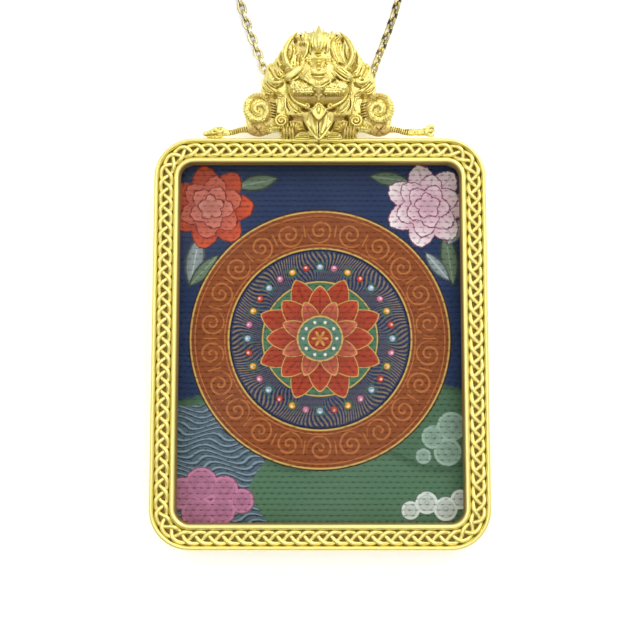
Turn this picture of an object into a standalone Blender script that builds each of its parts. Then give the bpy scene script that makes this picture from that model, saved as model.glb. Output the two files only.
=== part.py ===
"""Framed thangka pendant on a cable chain, lying on its back with its picture facing up.

The frame is a rounded rectangle with a plaited band between two rims. It holds a glass, the painted
cloth and a back plate. A crest stands on its top edge: a horned bird mask with a beak, which grips a
serpent on either side. The chain runs through a tube behind the mask, and the length that isn't worn
is coiled above the crest.

X runs to the right across the picture, Y up it and Z out of its face. The origin is under the middle
of the pendant, chain left out. Sizes here are in millimetres, and MM turns them into Blender's metres.
"""

import math

import bmesh
import bpy
from mathutils import Vector

MM = 0.001

# Driving sizes
FRAME_WIDTH = 50.0
FRAME_HEIGHT = 61.5
FRAME_DEPTH = 6.0
FRAME_CORNER = 6.0
CREST_HEIGHT = 17.7
FIT = 0.3
CHAIN_WIDTH = 1.3

# Heights through the frame
CHANNEL_FLOOR = 4.9
LEDGE_TOP = 5.2
LEDGE_UNDERSIDE = 4.7
GLASS_THICK = 1.6
CLOTH_THICK = 1.2
GLASS_TOP = LEDGE_UNDERSIDE - FIT
CLOTH_TOP = GLASS_TOP - GLASS_THICK - FIT
PLATE_TOP = CLOTH_TOP - CLOTH_THICK - FIT

# Distances in from the frame's outer edge
CHANNEL_START = 0.8
CHANNEL_END = 3.0
POCKET_WALL = 3.1
WINDOW_EDGE = 3.75
LEDGE_EDGE = 4.0

# The plaited band
PLAIT_WIDTH = 1.9
PLAIT_REPEATS = 102
PLAIT_SLANT = 0.6
PLAIT_LOW = 0.25
PLAIT_HIGH = 0.95
PLAIT_EDGE = 0.6

# Where the frame and the crest lie along Y
BOTTOM_EDGE = -(FRAME_HEIGHT + CREST_HEIGHT) / 2
TOP_EDGE = BOTTOM_EDGE + FRAME_HEIGHT
FRAME_MIDDLE = (BOTTOM_EDGE + TOP_EDGE) / 2
CORNER_STEPS = 6

# The crest: heights of its back, and of the tube that carries it
CREST_BACK = 3.8
CREST_BLOCK_TOP = 5.6
TUBE_BORE_R = 1.2
TUBE_R = 1.6
TUBE_HALF = 3.6
TUBE_UP_CREST = 7.4
TUBE_HEIGHT = CREST_BACK - FIT - TUBE_R

# The chain: its route on the right from the tube's middle towards the coil, and into either side of it
COIL_Y = 58.0
COIL_INNER = 3.75
COIL_COLUMNS = 6
COIL_LAYERS = 2
CHAIN_POINTS = 60
CHAIN_ROUTE = (
    (0.0, TUBE_UP_CREST + TOP_EDGE, TUBE_HEIGHT),
    (1.8, TUBE_UP_CREST + TOP_EDGE, TUBE_HEIGHT),
    (3.6, TUBE_UP_CREST + TOP_EDGE, TUBE_HEIGHT),
    (5.0, 29.5, 1.9),
    (6.3, 30.1, 1.85),
    (7.3, 31.2, 1.7),
    (8.1, 32.7, 1.5),
    (8.85, 34.5, 1.2),
    (9.7, 36.8, 0.9),
    (10.5, 39.0, 0.72),
    (11.3, 41.2, 0.68),
    (12.1, 43.6, 0.68),
    (12.8, 46.6, 0.68),
)
CHAIN_TO_LOWER_TURN = ((13.0, 50.0, 0.68), (12.6, 54.0, 0.68), (11.85, 57.6, 0.68))
CHAIN_TO_UPPER_TURN = ((13.0, 50.0, 0.8), (12.6, 54.0, 1.35), (11.85, 57.6, 1.95))

GOLD = (0.83, 0.62, 0.22, 1.0)
BRONZE = (0.45, 0.38, 0.22, 1.0)
CLOTH_RED = (0.42, 0.10, 0.06, 1.0)
CLEAR = (0.85, 0.9, 0.9, 0.3)


def clear_scene():
    """Removes whatever the file opened with."""
    for obj in list(bpy.data.objects):
        bpy.data.objects.remove(obj)


def material(name, colour, roughness, metallic):
    """A Principled finish of one colour."""
    made = bpy.data.materials.new(name)
    made.use_nodes = True
    shader = made.node_tree.nodes["Principled BSDF"]
    shader.inputs["Base Color"].default_value = colour
    shader.inputs["Roughness"].default_value = roughness
    shader.inputs["Metallic"].default_value = metallic
    shader.inputs["Alpha"].default_value = colour[3]
    return made


def finished(name, mesh_shape, finish, sharp_angle=35):
    """A bmesh in millimetres made an object in metres, welded and with its faces pointing out."""
    bmesh.ops.remove_doubles(mesh_shape, verts=mesh_shape.verts, dist=0.0005)
    bmesh.ops.recalc_face_normals(mesh_shape, faces=mesh_shape.faces)
    bmesh.ops.scale(mesh_shape, vec=(MM, MM, MM), verts=mesh_shape.verts)
    mesh = bpy.data.meshes.new(name)
    mesh_shape.to_mesh(mesh)
    mesh_shape.free()
    mesh.shade_smooth()
    mesh.set_sharp_from_angle(angle=math.radians(sharp_angle))
    mesh.materials.append(finish)
    obj = bpy.data.objects.new(name, mesh)
    bpy.context.scene.collection.objects.link(obj)
    return obj


def rounded_outline(inset):
    """The frame's outline, that far in from its edge, anticlockwise from the right-hand top corner."""
    radius = FRAME_CORNER - inset
    half_x = FRAME_WIDTH / 2 - FRAME_CORNER
    half_y = FRAME_HEIGHT / 2 - FRAME_CORNER
    points = []
    for quarter, (side_x, side_y) in enumerate(((1, 1), (-1, 1), (-1, -1), (1, -1))):
        for step in range(CORNER_STEPS + 1):
            turn = math.radians(90 * (quarter + step / CORNER_STEPS))
            points.append(
                (
                    side_x * half_x + radius * math.cos(turn),
                    FRAME_MIDDLE + side_y * half_y + radius * math.sin(turn),
                )
            )
    return points


def border_point(along, inset):
    """The point at that distance along the frame's border, on the line that far in from its edge.

    Distances are measured along the middle of the plait, anticlockwise from the right side's middle.
    """
    middle_inset = (CHANNEL_START + CHANNEL_END) / 2
    radius = FRAME_CORNER - middle_inset
    half_x = FRAME_WIDTH / 2 - FRAME_CORNER
    half_y = FRAME_HEIGHT / 2 - FRAME_CORNER
    arc = radius * math.pi / 2
    left = along % border_length()
    centre_signs = ((1, 1), (-1, 1), (-1, -1), (1, -1))
    straights = (half_y, 2 * half_x, 2 * half_y, 2 * half_x, half_y)
    for side, straight in enumerate(straights):
        out = Vector((math.cos(math.pi / 2 * side), math.sin(math.pi / 2 * side)))
        ahead = Vector((-out.y, out.x))
        if left <= straight or side == 4:
            from_corner = centre_signs[side - 1] if side else None
            start = (
                Vector((half_x, 0))
                if from_corner is None
                else Vector((from_corner[0] * half_x, from_corner[1] * half_y))
            )
            place = start + ahead * left + out * (FRAME_CORNER - inset)
            return place.x, place.y + FRAME_MIDDLE
        left -= straight
        if left <= arc:
            turn = math.pi / 2 * side + left / radius
            corner = Vector((centre_signs[side][0] * half_x, centre_signs[side][1] * half_y))
            place = corner + Vector((math.cos(turn), math.sin(turn))) * (FRAME_CORNER - inset)
            return place.x, place.y + FRAME_MIDDLE
        left -= arc
    raise ValueError("a border distance lies past the border's end")


def border_length():
    """The length of the line along the middle of the plait."""
    radius = FRAME_CORNER - (CHANNEL_START + CHANNEL_END) / 2
    straights = 2 * (FRAME_WIDTH + FRAME_HEIGHT - 4 * FRAME_CORNER)
    return straights + 2 * math.pi * radius


def add_faces_between(shape, first, second):
    """Joins two closed rows of vertices of the same length with four-sided faces."""
    count = len(first)
    for i in range(count):
        j = (i + 1) % count
        shape.faces.new((first[i], first[j], second[j], second[i]))


def make_frame(finish):
    """The cast frame: two rims with a channel between, a ledge over the glass, and a pocket behind."""
    profile = (
        (0.3, 0.0),
        (0.0, 0.35),
        (0.0, 5.35),
        (0.12, 5.8),
        (0.4, FRAME_DEPTH),
        (0.66, 5.82),
        (CHANNEL_START, 5.4),
        (CHANNEL_START, CHANNEL_FLOOR),
        (CHANNEL_END, CHANNEL_FLOOR),
        (CHANNEL_END, 5.5),
        (3.12, 5.86),
        (3.38, FRAME_DEPTH),
        (WINDOW_EDGE, 5.75),
        (WINDOW_EDGE, LEDGE_TOP),
        (LEDGE_EDGE, LEDGE_TOP - 0.1),
        (LEDGE_EDGE, LEDGE_UNDERSIDE),
        (POCKET_WALL, LEDGE_UNDERSIDE),
        (POCKET_WALL, 0.0),
    )
    shape = bmesh.new()
    rows = [
        [shape.verts.new((x, y, height)) for x, y in rounded_outline(inset)]
        for inset, height in profile
    ]
    for i, row in enumerate(rows):
        add_faces_between(shape, row, rows[(i + 1) % len(rows)])
    return finished("frame", shape, finish)


def make_plait(finish):
    """The plaited band: slanting ridges from either edge that meet along the middle."""
    middle_inset = (CHANNEL_START + CHANNEL_END) / 2
    half = PLAIT_WIDTH / 2
    pitch = border_length() / PLAIT_REPEATS
    foot = CHANNEL_FLOOR + FIT
    lift = FRAME_DEPTH - foot - 0.05
    rows = []
    shape = bmesh.new()
    for across in (-1.0, -0.35, 0.35, 1.0):
        row = []
        for line in range(2 * PLAIT_REPEATS):
            ridge = (line + (across > 0)) % 2 == 0
            height = PLAIT_HIGH if ridge else PLAIT_LOW
            if abs(across) == 1:
                height *= PLAIT_EDGE
            along = (line / 2 + PLAIT_SLANT * (1 - abs(across))) * pitch
            x, y = border_point(along, middle_inset + across * half)
            row.append(shape.verts.new((x, y, foot + lift * height)))
        rows.append(row)
    for across in (1.0, -1.0):
        row = []
        for line in range(2 * PLAIT_REPEATS):
            x, y = border_point(line / 2 * pitch, middle_inset + across * half)
            row.append(shape.verts.new((x, y, foot)))
        rows.append(row)
    for i, row in enumerate(rows):
        add_faces_between(shape, row, rows[(i + 1) % len(rows)])
    return finished("plait", shape, finish, 15)


def make_slab(name, inset, low, high, finish):
    """A flat sheet of the frame's outline, that far in from its edge."""
    shape = bmesh.new()
    rows = [
        [shape.verts.new((x, y, height)) for x, y in rounded_outline(inset)]
        for height in (low, high)
    ]
    add_faces_between(shape, rows[0], rows[1])
    for row in rows:
        shape.faces.new(row)
    return finished(name, shape, finish)


def limb(points, sides=6, steps=2):
    """A tapering round limb along a smooth curve. A point is across, up the crest, height, radius."""
    curve = bpy.data.curves.new("limb", "CURVE")
    curve.dimensions = "3D"
    curve.bevel_depth = 1.0
    curve.bevel_resolution = (sides - 4) // 2
    curve.use_fill_caps = True
    curve.resolution_u = steps
    spline = curve.splines.new("BEZIER")
    spline.bezier_points.add(len(points) - 1)
    for knot, (across, up, height, radius) in zip(spline.bezier_points, points):
        knot.co = (across, up + TOP_EDGE, height)
        knot.radius = radius
        knot.handle_left_type = knot.handle_right_type = "AUTO"
    obj = bpy.data.objects.new("limb", curve)
    bpy.context.scene.collection.objects.link(obj)
    mesh = bpy.data.meshes.new_from_object(obj)
    bpy.data.objects.remove(obj)
    shape = bmesh.new()
    shape.from_mesh(mesh)
    bpy.data.meshes.remove(mesh)
    return shape


def lump(across, up, height, radii, columns, rows):
    """An egg-shaped lump of the crest."""
    shape = bmesh.new()
    bmesh.ops.create_uvsphere(shape, u_segments=columns, v_segments=rows, radius=1)
    bmesh.ops.scale(shape, vec=radii, verts=shape.verts)
    bmesh.ops.translate(shape, vec=(across, up + TOP_EDGE, height), verts=shape.verts)
    return shape


def block(outline, low, high):
    """A flat block of the given outline, whose points are across and up the crest."""
    shape = bmesh.new()
    base = shape.faces.new([shape.verts.new((x, up + TOP_EDGE, low)) for x, up in outline])
    lifted = bmesh.ops.extrude_face_region(shape, geom=[base])["geom"]
    corners = [part for part in lifted if isinstance(part, bmesh.types.BMVert)]
    bmesh.ops.translate(shape, vec=(0, 0, high - low), verts=corners)
    return shape


def mirrored(points):
    """The same points on the other side of the crest."""
    return [(-point[0], *point[1:]) for point in points]


def both_sides(points, **settings):
    """A limb on the right-hand side, and its mirror image."""
    return [limb(points, **settings), limb(mirrored(points), **settings)]


def drop_slivers(mesh):
    """Keeps a casting's outer shell, and drops any sliver that fusing left inside it."""
    shape = bmesh.new()
    shape.from_mesh(mesh)
    shells = []
    unseen = set(shape.faces)
    while unseen:
        shell = {unseen.pop()}
        edge_of_shell = list(shell)
        while edge_of_shell:
            face = edge_of_shell.pop()
            beside = {other for edge in face.edges for other in edge.link_faces} & unseen
            unseen -= beside
            shell |= beside
            edge_of_shell.extend(beside)
        shells.append(shell)
    shells.sort(key=len)
    for shell in shells[:-1]:
        corners = {corner for face in shell for corner in face.verts}
        bmesh.ops.delete(shape, geom=list(corners), context="VERTS")
    shape.to_mesh(mesh)
    shape.free()


def cast(name, shapes, finish, back):
    """Fuses overlapping shapes into one casting with a flat back at that height."""
    pieces = [finished(f"{name}_{i}", shape, finish) for i, shape in enumerate(shapes)]
    group = bpy.data.collections.new(name)
    for piece in pieces[1:]:
        group.objects.link(piece)
    whole = pieces[0]
    fuse = whole.modifiers.new("fuse", "BOOLEAN")
    fuse.operation = "UNION"
    fuse.operand_type = "COLLECTION"
    fuse.collection = group
    fuse.solver = "EXACT"
    below = bmesh.new()
    bmesh.ops.create_cube(below, size=60)
    bmesh.ops.translate(below, vec=(0, TOP_EDGE, back - 30), verts=below.verts)
    cutter = finished(f"{name}_cut", below, finish)
    trim = whole.modifiers.new("trim", "BOOLEAN")
    trim.operation = "DIFFERENCE"
    trim.object = cutter
    trim.solver = "EXACT"
    graph = bpy.context.evaluated_depsgraph_get()
    mesh = bpy.data.meshes.new_from_object(whole.evaluated_get(graph))
    for helper in (*pieces, cutter):
        bpy.data.objects.remove(helper)
    bpy.data.collections.remove(group)
    drop_slivers(mesh)
    obj = bpy.data.objects.new(name, mesh)
    mesh.name = name
    mesh.shade_smooth()
    mesh.set_sharp_from_angle(angle=math.radians(35))
    bpy.context.scene.collection.objects.link(obj)
    return obj


def head_shapes():
    """The mask's skull on its backing block, and the lumps of its face."""
    half = (
        (0.7, 16.4),
        (3.0, 15.7),
        (4.8, 14.2),
        (5.8, 12.4),
        (6.3, 11.1),
        (7.5, 10.6),
        (7.9, 9.2),
        (8.2, 8.2),
        (7.6, 7.6),
        (6.6, 6.7),
        (6.3, 4.2),
        (6.2, 2.6),
        (5.6, 0.35),
    )
    outline = [*half, *[(-x, up) for x, up in reversed(half)]]
    shapes = [
        block(outline, CREST_BACK - 0.5, CREST_BLOCK_TOP),
        lump(0, 8.2, 5.3, (4.6, 4.6, 3.1), 16, 10),
        lump(0, 11.9, 6.6, (0.55, 0.6, 0.6), 8, 6),
        lump(0, 10.8, 7.4, (0.75, 0.6, 0.6), 8, 6),
    ]
    for side in (-1, 1):
        shapes += [
            lump(side * 2.75, 7.75, 7.6, (1.45, 0.75, 0.85), 12, 8),
            lump(side * 1.85, 6.4, 7.6, (0.65, 0.6, 0.6), 8, 6),
            lump(side * 2.55, 0.8, 5.2, (1.1, 0.48, 1.2), 8, 6),
            lump(side * 4.7, 1.2, 5.7, (0.95, 0.85, 1.1), 8, 6),
        ]
    return shapes


def crown_shapes():
    """The flaming jewel, the locks of hair beside it, the ears and the horns."""
    jewel = (
        (0, 13.0, 5.9, 0.3),
        (0, 13.8, 6.1, 0.95),
        (0, 14.7, 6.1, 1.05),
        (0, 15.7, 5.9, 0.72),
        (0, 16.7, 5.6, 0.36),
        (0, CREST_HEIGHT, 5.3, 0.05),
    )
    horn = (
        (4.1, 10.3, 6.2, 0.8),
        (5.3, 11.6, 6.7, 0.74),
        (5.75, 13.3, 6.8, 0.62),
        (5.1, 15.1, 6.5, 0.42),
        (3.5, 16.6, 5.9, 0.06),
    )
    ear = ((3.7, 11.1, 5.9, 0.35), (4.3, 12.9, 6.1, 0.5), (3.8, 14.6, 5.6, 0.15))
    shapes = [limb(jewel, sides=8), *both_sides(horn, sides=8, steps=3), *both_sides(ear)]
    for root, tip, top in ((1.3, 1.55, 16.3), (2.1, 2.3, 16.1), (2.9, 3.05, 15.7)):
        lock = (
            (root, 11.0, 6.4, 0.42),
            (root + 0.35, 13.3, 6.1, 0.42),
            (tip, top, 5.2, 0.1),
        )
        shapes += both_sides(lock)
    return shapes


def face_shapes():
    """Brows, cheek bands, nose jewel, beak, scrolls and the plumes at either side."""
    brow = (
        (0.9, 8.9, 8.1, 0.45),
        (2.6, 9.7, 7.8, 0.6),
        (4.3, 9.5, 7.0, 0.55),
        (5.8, 8.7, 6.0, 0.3),
    )
    cheek = (
        (4.9, 8.2, 5.9, 0.45),
        (4.8, 6.4, 6.0, 0.6),
        (3.6, 5.0, 6.2, 0.6),
        (1.9, 4.4, 6.6, 0.5),
    )
    scroll = ((5.7, 6.4, 5.8, 0.55), (6.05, 4.8, 5.9, 0.7), (5.8, 3.2, 6.0, 0.85))
    shapes = [*both_sides(brow, sides=8), *both_sides(cheek), *both_sides(scroll, sides=8)]
    plumes = (
        (5.2, 9.4, 7.75, 11.8, 0.45),
        (5.5, 8.6, 8.2, 10.7, 0.45),
        (5.7, 7.8, 8.5, 9.5, 0.45),
        (5.9, 7.2, 8.75, 8.3, 0.4),
    )
    for root_x, root_y, tip_x, tip_y, radius in plumes:
        bend_x = root_x + 0.75 * (tip_x - root_x)
        bend_y = root_y + 0.35 * (tip_y - root_y)
        plume = (
            (root_x, root_y, 5.9, radius),
            (bend_x, bend_y, 5.6, radius),
            (tip_x, tip_y, 5.0, 0.08),
        )
        shapes += both_sides(plume)
    for finger in range(4):
        at = 4.05 + 0.42 * finger
        knuckles = ((at, 2.1, 6.0, 0.2), (at, 1.2, 6.75, 0.26), (at, 0.35, 6.2, 0.2))
        shapes += both_sides(knuckles)
    for tip_x, tip_y in ((2.5, 2.8), (3.2, 2.9), (3.9, 2.5)):
        leaf = ((3.0, 1.0, 5.8, 0.35), (tip_x, tip_y, 6.1, 0.06))
        shapes += both_sides(leaf)
    return shapes


def beak_shapes():
    """Two flared plates that meet in a point over the frame's rim, and the lozenge above them."""
    top, flare, tip = 5.3, 2.9, -0.15
    low, edge, ridge = 6.35, 7.0, 9.2
    outline = (
        (0.0, tip),
        (0.95, 1.0),
        (2.15, flare),
        (1.5, 4.2),
        (0.9, top),
        (-0.9, top),
        (-1.5, 4.2),
        (-2.15, flare),
        (-0.95, 1.0),
    )
    shape = bmesh.new()
    below = [shape.verts.new((x, up + TOP_EDGE, low)) for x, up in outline]
    above = [shape.verts.new((x, up + TOP_EDGE, edge)) for x, up in outline]
    add_faces_between(shape, below, above)
    shape.faces.new(below)
    spine = [shape.verts.new((0, up + TOP_EDGE, ridge)) for up in (0.9, 4.6)]
    shape.faces.new((above[0], above[1], spine[0]))
    shape.faces.new((above[-1], above[0], spine[0]))
    shape.faces.new((above[1], above[2], above[3], spine[1], spine[0]))
    shape.faces.new((above[6], above[7], above[8], spine[0], spine[1]))
    shape.faces.new((above[3], above[4], spine[1]))
    shape.faces.new((above[5], above[6], spine[1]))
    shape.faces.new((above[4], above[5], spine[1]))
    return [shape, lump(0, 4.6, 8.8, (0.8, 1.05, 0.75), 8, 6)]


def make_mask(finish):
    """The bird mask, cast in one piece on its backing block."""
    shapes = [*head_shapes(), *crown_shapes(), *face_shapes(), *beak_shapes()]
    return cast("mask", shapes, finish, CREST_BACK)


def serpent_shapes(side):
    """A serpent on one side: its body along the frame's edge, and a spined coil above it."""
    body = [
        (6.45, 1.55, 5.0, 0.62),
        (7.9, 1.4, 5.0, 0.66),
        (9.5, 1.25, 5.0, 0.9),
        (10.7, 1.6, 4.8, 0.55),
        (12.0, 1.65, 4.6, 0.42),
        (13.6, 1.2, 4.5, 0.4),
    ]
    if side < 0:
        body += [(15.0, 1.15, 4.6, 0.78), (16.4, 1.05, 4.6, 0.7), (17.75, 0.8, 4.4, 0.12)]
    else:
        body += [(15.4, 1.15, 4.6, 0.5), (16.6, 1.3, 4.7, 0.85), (17.7, 1.75, 4.5, 0.3)]
    centre_x, centre_y = 9.2, 4.7
    turns, outer, inner = 1.6, 1.82, 0.45
    coil = []
    knots = 14
    for knot in range(knots + 1):
        share = knot / knots
        turn = math.radians(-75) - share * turns * 2 * math.pi
        reach = outer + (inner - outer) * share
        coil.append(
            (
                centre_x + reach * math.cos(turn),
                centre_y + reach * math.sin(turn),
                5.2 + 0.7 * share,
                0.56 - 0.24 * share,
            )
        )
    shapes = [
        limb([(side * x, *rest) for x, *rest in body], steps=3),
        lump(side * centre_x, centre_y, 4.6, (2.25, 2.25, 1.2), 16, 8),
        limb([(side * x, *rest) for x, *rest in coil], steps=2),
        lump(side * 9.3, 2.4, 4.7, (0.9, 0.8, 0.8), 8, 6),
    ]
    spines = 9
    for spine in range(spines):
        turn = math.radians(48 + 142 * spine / (spines - 1))
        root, tip = 2.1, 2.75
        thorn = (
            (side * (centre_x - root * math.cos(turn)), centre_y + root * math.sin(turn), 5.0, 0.26),
            (side * (centre_x - tip * math.cos(turn)), centre_y + tip * math.sin(turn), 4.9, 0.06),
        )
        shapes.append(limb(thorn, sides=4, steps=1))
    return shapes


def make_serpent(name, side, finish):
    """One serpent, cast in one piece."""
    return cast(name, serpent_shapes(side), finish, CREST_BACK)


def make_tube(finish):
    """The tube behind the mask that the chain runs through."""
    bpy.ops.mesh.primitive_cylinder_add(
        vertices=24,
        radius=TUBE_R * MM,
        depth=2 * TUBE_HALF * MM,
        location=(0, (TUBE_UP_CREST + TOP_EDGE) * MM, TUBE_HEIGHT * MM),
        rotation=(0, math.radians(90), 0),
    )
    tube = bpy.context.object
    tube.name = tube.data.name = "bail_tube"
    bpy.ops.mesh.primitive_cylinder_add(
        vertices=24,
        radius=TUBE_BORE_R * MM,
        depth=3 * TUBE_HALF * MM,
        location=tube.location,
        rotation=(0, math.radians(90), 0),
    )
    drill = bpy.context.object
    bore = tube.modifiers.new("bore", "BOOLEAN")
    bore.operation = "DIFFERENCE"
    bore.object = drill
    bore.solver = "EXACT"
    drill.hide_render = True
    drill.display_type = "WIRE"
    drill.name = "bail_drill"
    tube.data.materials.append(finish)
    tube.data.shade_smooth()
    tube.data.set_sharp_from_angle(angle=math.radians(35))
    return tube


def smooth_route(points, count):
    """That many points, evenly spaced, on the smooth curve through a route's own points."""
    ends = (points[0], *points, points[-1])
    fine = []
    for before, start, stop, after in zip(ends, ends[1:], ends[2:], ends[3:]):
        before, start, stop, after = map(Vector, (before, start, stop, after))
        for step in range(24):
            t = step / 24
            fine.append(
                0.5
                * (
                    2 * start
                    + (stop - before) * t
                    + (2 * before - 5 * start + 4 * stop - after) * t**2
                    + (3 * start - 3 * stop + after - before) * t**3
                )
            )
    fine.append(Vector(points[-1]))
    reached = [0.0]
    for first, second in zip(fine, fine[1:]):
        reached.append(reached[-1] + (second - first).length)
    placed = []
    at = 0
    for number in range(count):
        wanted = reached[-1] * number / (count - 1)
        while reached[at + 1] < wanted and at < len(fine) - 2:
            at += 1
        share = (wanted - reached[at]) / (reached[at + 1] - reached[at])
        placed.append(fine[at].lerp(fine[at + 1], share))
    return placed


def make_chain_run(finish):
    """The chain that isn't coiled: from the coil, down through the tube and back up to the coil."""
    right = (*CHAIN_ROUTE, *CHAIN_TO_UPPER_TURN)
    left = mirrored((*CHAIN_ROUTE[1:], *CHAIN_TO_LOWER_TURN))[::-1]
    curve = bpy.data.curves.new("chain_run", "CURVE")
    curve.dimensions = "3D"
    curve.bevel_depth = CHAIN_WIDTH / 2 * MM
    curve.bevel_resolution = 2
    curve.use_fill_caps = True
    spline = curve.splines.new("POLY")
    places = smooth_route([*left, *right], CHAIN_POINTS)
    spline.points.add(len(places) - 1)
    for knot, place in zip(spline.points, places):
        knot.co = (*(place * MM), 1.0)
    curve.materials.append(finish)
    obj = bpy.data.objects.new("chain_run", curve)
    bpy.context.scene.collection.objects.link(obj)
    return obj


def make_chain_coil(finish):
    """The outer shape of the coil that the rest of the chain is wound in."""
    inside = COIL_INNER - CHAIN_WIDTH / 2
    outside = COIL_INNER + (COIL_COLUMNS - 0.5) * CHAIN_WIDTH
    top = COIL_LAYERS * CHAIN_WIDTH + 0.04
    soft = 0.45
    section = (
        (inside, 0.02 + soft),
        (inside + soft, 0.02),
        (outside - soft, 0.02),
        (outside, 0.02 + soft),
        (outside, top - soft),
        (outside - soft, top),
        (inside + soft, top),
        (inside, top - soft),
    )
    shape = bmesh.new()
    corners = [shape.verts.new((x, 0, height)) for x, height in section]
    edges = [
        shape.edges.new((corner, corners[(i + 1) % len(corners)]))
        for i, corner in enumerate(corners)
    ]
    bmesh.ops.spin(
        shape,
        geom=[*corners, *edges],
        cent=(0, 0, 0),
        axis=(0, 0, 1),
        angle=2 * math.pi,
        steps=36,
        use_merge=True,
    )
    bmesh.ops.translate(shape, vec=(0, COIL_Y, 0), verts=shape.verts)
    return finished("chain_coil", shape, finish)


def main():
    """Builds every piece of the pendant."""
    clear_scene()
    gold = material("matte_gold", GOLD, 0.35, 1.0)
    bronze = material("chain_bronze", BRONZE, 0.3, 1.0)
    cloth = material("painted_cloth", CLOTH_RED, 0.8, 0.0)
    clear = material("clear_glass", CLEAR, 0.03, 0.0)
    make_frame(gold)
    make_plait(gold)
    make_slab("glass", POCKET_WALL + FIT, GLASS_TOP - GLASS_THICK, GLASS_TOP, clear)
    make_slab("thangka_cloth", POCKET_WALL + FIT, CLOTH_TOP - CLOTH_THICK, CLOTH_TOP, cloth)
    make_slab("back_plate", POCKET_WALL + FIT, 0.0, PLATE_TOP, gold)
    make_mask(gold)
    make_serpent("serpent_left", -1, gold)
    make_serpent("serpent_right", 1, gold)
    make_tube(gold)
    make_chain_run(bronze)
    make_chain_coil(bronze)


main()
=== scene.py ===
"""The looks of a framed thangka pendant: its cast frame and plait, crest, painted cloth, glass and chain.

The file is laid out as a Blender add-on and run as a script. Pieces are modelled in millimetres and
brought to metres when they are finished. X runs to the right across the picture, Y up it, and Z out of
its face; the pendant lies on its back on the floor, and the origin is under its middle.
"""

import math

import bmesh
import bpy
import numpy
from mathutils import Matrix, Vector


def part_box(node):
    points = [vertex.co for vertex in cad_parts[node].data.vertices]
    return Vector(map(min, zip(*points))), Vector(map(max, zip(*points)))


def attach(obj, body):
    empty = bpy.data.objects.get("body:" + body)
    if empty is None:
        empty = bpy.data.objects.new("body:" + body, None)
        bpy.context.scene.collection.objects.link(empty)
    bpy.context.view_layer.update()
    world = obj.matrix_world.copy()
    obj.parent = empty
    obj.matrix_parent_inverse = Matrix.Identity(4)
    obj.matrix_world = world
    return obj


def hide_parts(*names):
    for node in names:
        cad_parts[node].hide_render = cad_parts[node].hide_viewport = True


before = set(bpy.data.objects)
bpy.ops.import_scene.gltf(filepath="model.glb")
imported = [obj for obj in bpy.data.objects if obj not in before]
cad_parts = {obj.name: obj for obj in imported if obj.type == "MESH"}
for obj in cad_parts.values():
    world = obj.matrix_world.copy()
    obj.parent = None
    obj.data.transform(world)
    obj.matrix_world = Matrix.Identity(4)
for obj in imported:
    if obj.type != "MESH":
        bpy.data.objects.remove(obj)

bl_info = {
    "name": "Framed Thangka Pendant",
    "version": (1, 0, 0),
    "blender": (4, 5, 0),
    "location": "View3D > Sidebar > Pendant",
    "description": "Dresses a framed thangka pendant: frame, crest, cloth, glass, chain and stage",
    "category": "Object",
}

MM = 0.001
BODY = "root"


def node_size(node):
    """A CAD node's lowest corner and highest corner, in millimetres."""
    low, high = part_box(node)
    return Vector(low) / MM, Vector(high) / MM


# Driving sizes in millimetres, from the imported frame
FRAME_LOW, FRAME_HIGH = node_size("frame")
CLOTH_LOW, CLOTH_HIGH = node_size("thangka_cloth")
MASK_LOW = node_size("mask")[0]
COIL_LOW, COIL_HIGH = node_size("chain_coil")
TUBE_LOW, TUBE_HIGH = node_size("bail_tube")
FRAME_WIDTH = FRAME_HIGH.x - FRAME_LOW.x
FRAME_HEIGHT = FRAME_HIGH.y - FRAME_LOW.y
FRAME_TOP = FRAME_HIGH.z
FRAME_MIDDLE = (FRAME_LOW.y + FRAME_HIGH.y) / 2
TOP_EDGE = FRAME_HIGH.y
CORNER = 6.0
CORNER_STEPS = 14

# The frame's section: distances in from its outer edge, and heights
OUTER_RIM = 0.72
CHANNEL_END = 2.95
INNER_RIM_END = 3.86
LEDGE_END = 4.0
POCKET_WALL = 3.1
CLOTH_INSET = CLOTH_LOW.x - FRAME_LOW.x
CHANNEL_FLOOR = 4.9
LEDGE_TOP = 5.0
LEDGE_UNDERSIDE = 4.7

# The plait: its strands, the waves of each round the frame and the points of each wave, how far a wave
# swings and rises, how much it is looped, and the height of its middle
STRANDS = 3
PLAIT_WAVES = 34
WAVE_POINTS = 20
PLAIT_SWING = 0.8
PLAIT_LIFT = 0.24
PLAIT_LOOP = 0.1
PLAIT_HEIGHT = 5.42

# Where the patina and painted shade in the frame's channel start below the frame's top, and the depth
# over which they fade in
SHADE_AND_PATINA_LEVEL = 5.32
SHADE_AND_PATINA_FADE = 0.4

# The chain: the CAD cord's width, the links' length, width and wire, and their rolls on either side
CHAIN_WIDTH = 1.3
LINK_LENGTH = 2.25
LINK_WIDTH = 1.5
LINK_WIRE = 0.46
LEFT_ROLL = 8
RIGHT_ROLL = 40

# The chain's route as the CAD model lays it: the right-hand side, from the tube to the coil
TUBE_HEIGHT = (TUBE_LOW.z + TUBE_HIGH.z) / 2
TUBE_Y = (TUBE_LOW.y + TUBE_HIGH.y) / 2
CHAIN_ROUTE = (
    (0.0, TUBE_Y, TUBE_HEIGHT), (1.8, TUBE_Y, TUBE_HEIGHT), (3.6, TUBE_Y, TUBE_HEIGHT),
    (5.0, 29.5, 1.9), (6.3, 30.1, 1.85), (7.3, 31.2, 1.7), (8.1, 32.7, 1.5), (8.85, 34.5, 1.2),
    (9.7, 36.8, 0.9), (10.5, 39.0, 0.72), (11.3, 41.2, 0.68), (12.1, 43.6, 0.68), (12.8, 46.6, 0.68),
)
CHAIN_TO_LOWER_TURN = ((13.0, 50.0, 0.68), (12.6, 54.0, 0.68), (11.85, 57.6, 0.68))
CHAIN_TO_UPPER_TURN = ((13.0, 50.0, 0.8), (12.6, 54.0, 1.35), (11.85, 57.6, 1.95))

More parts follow.
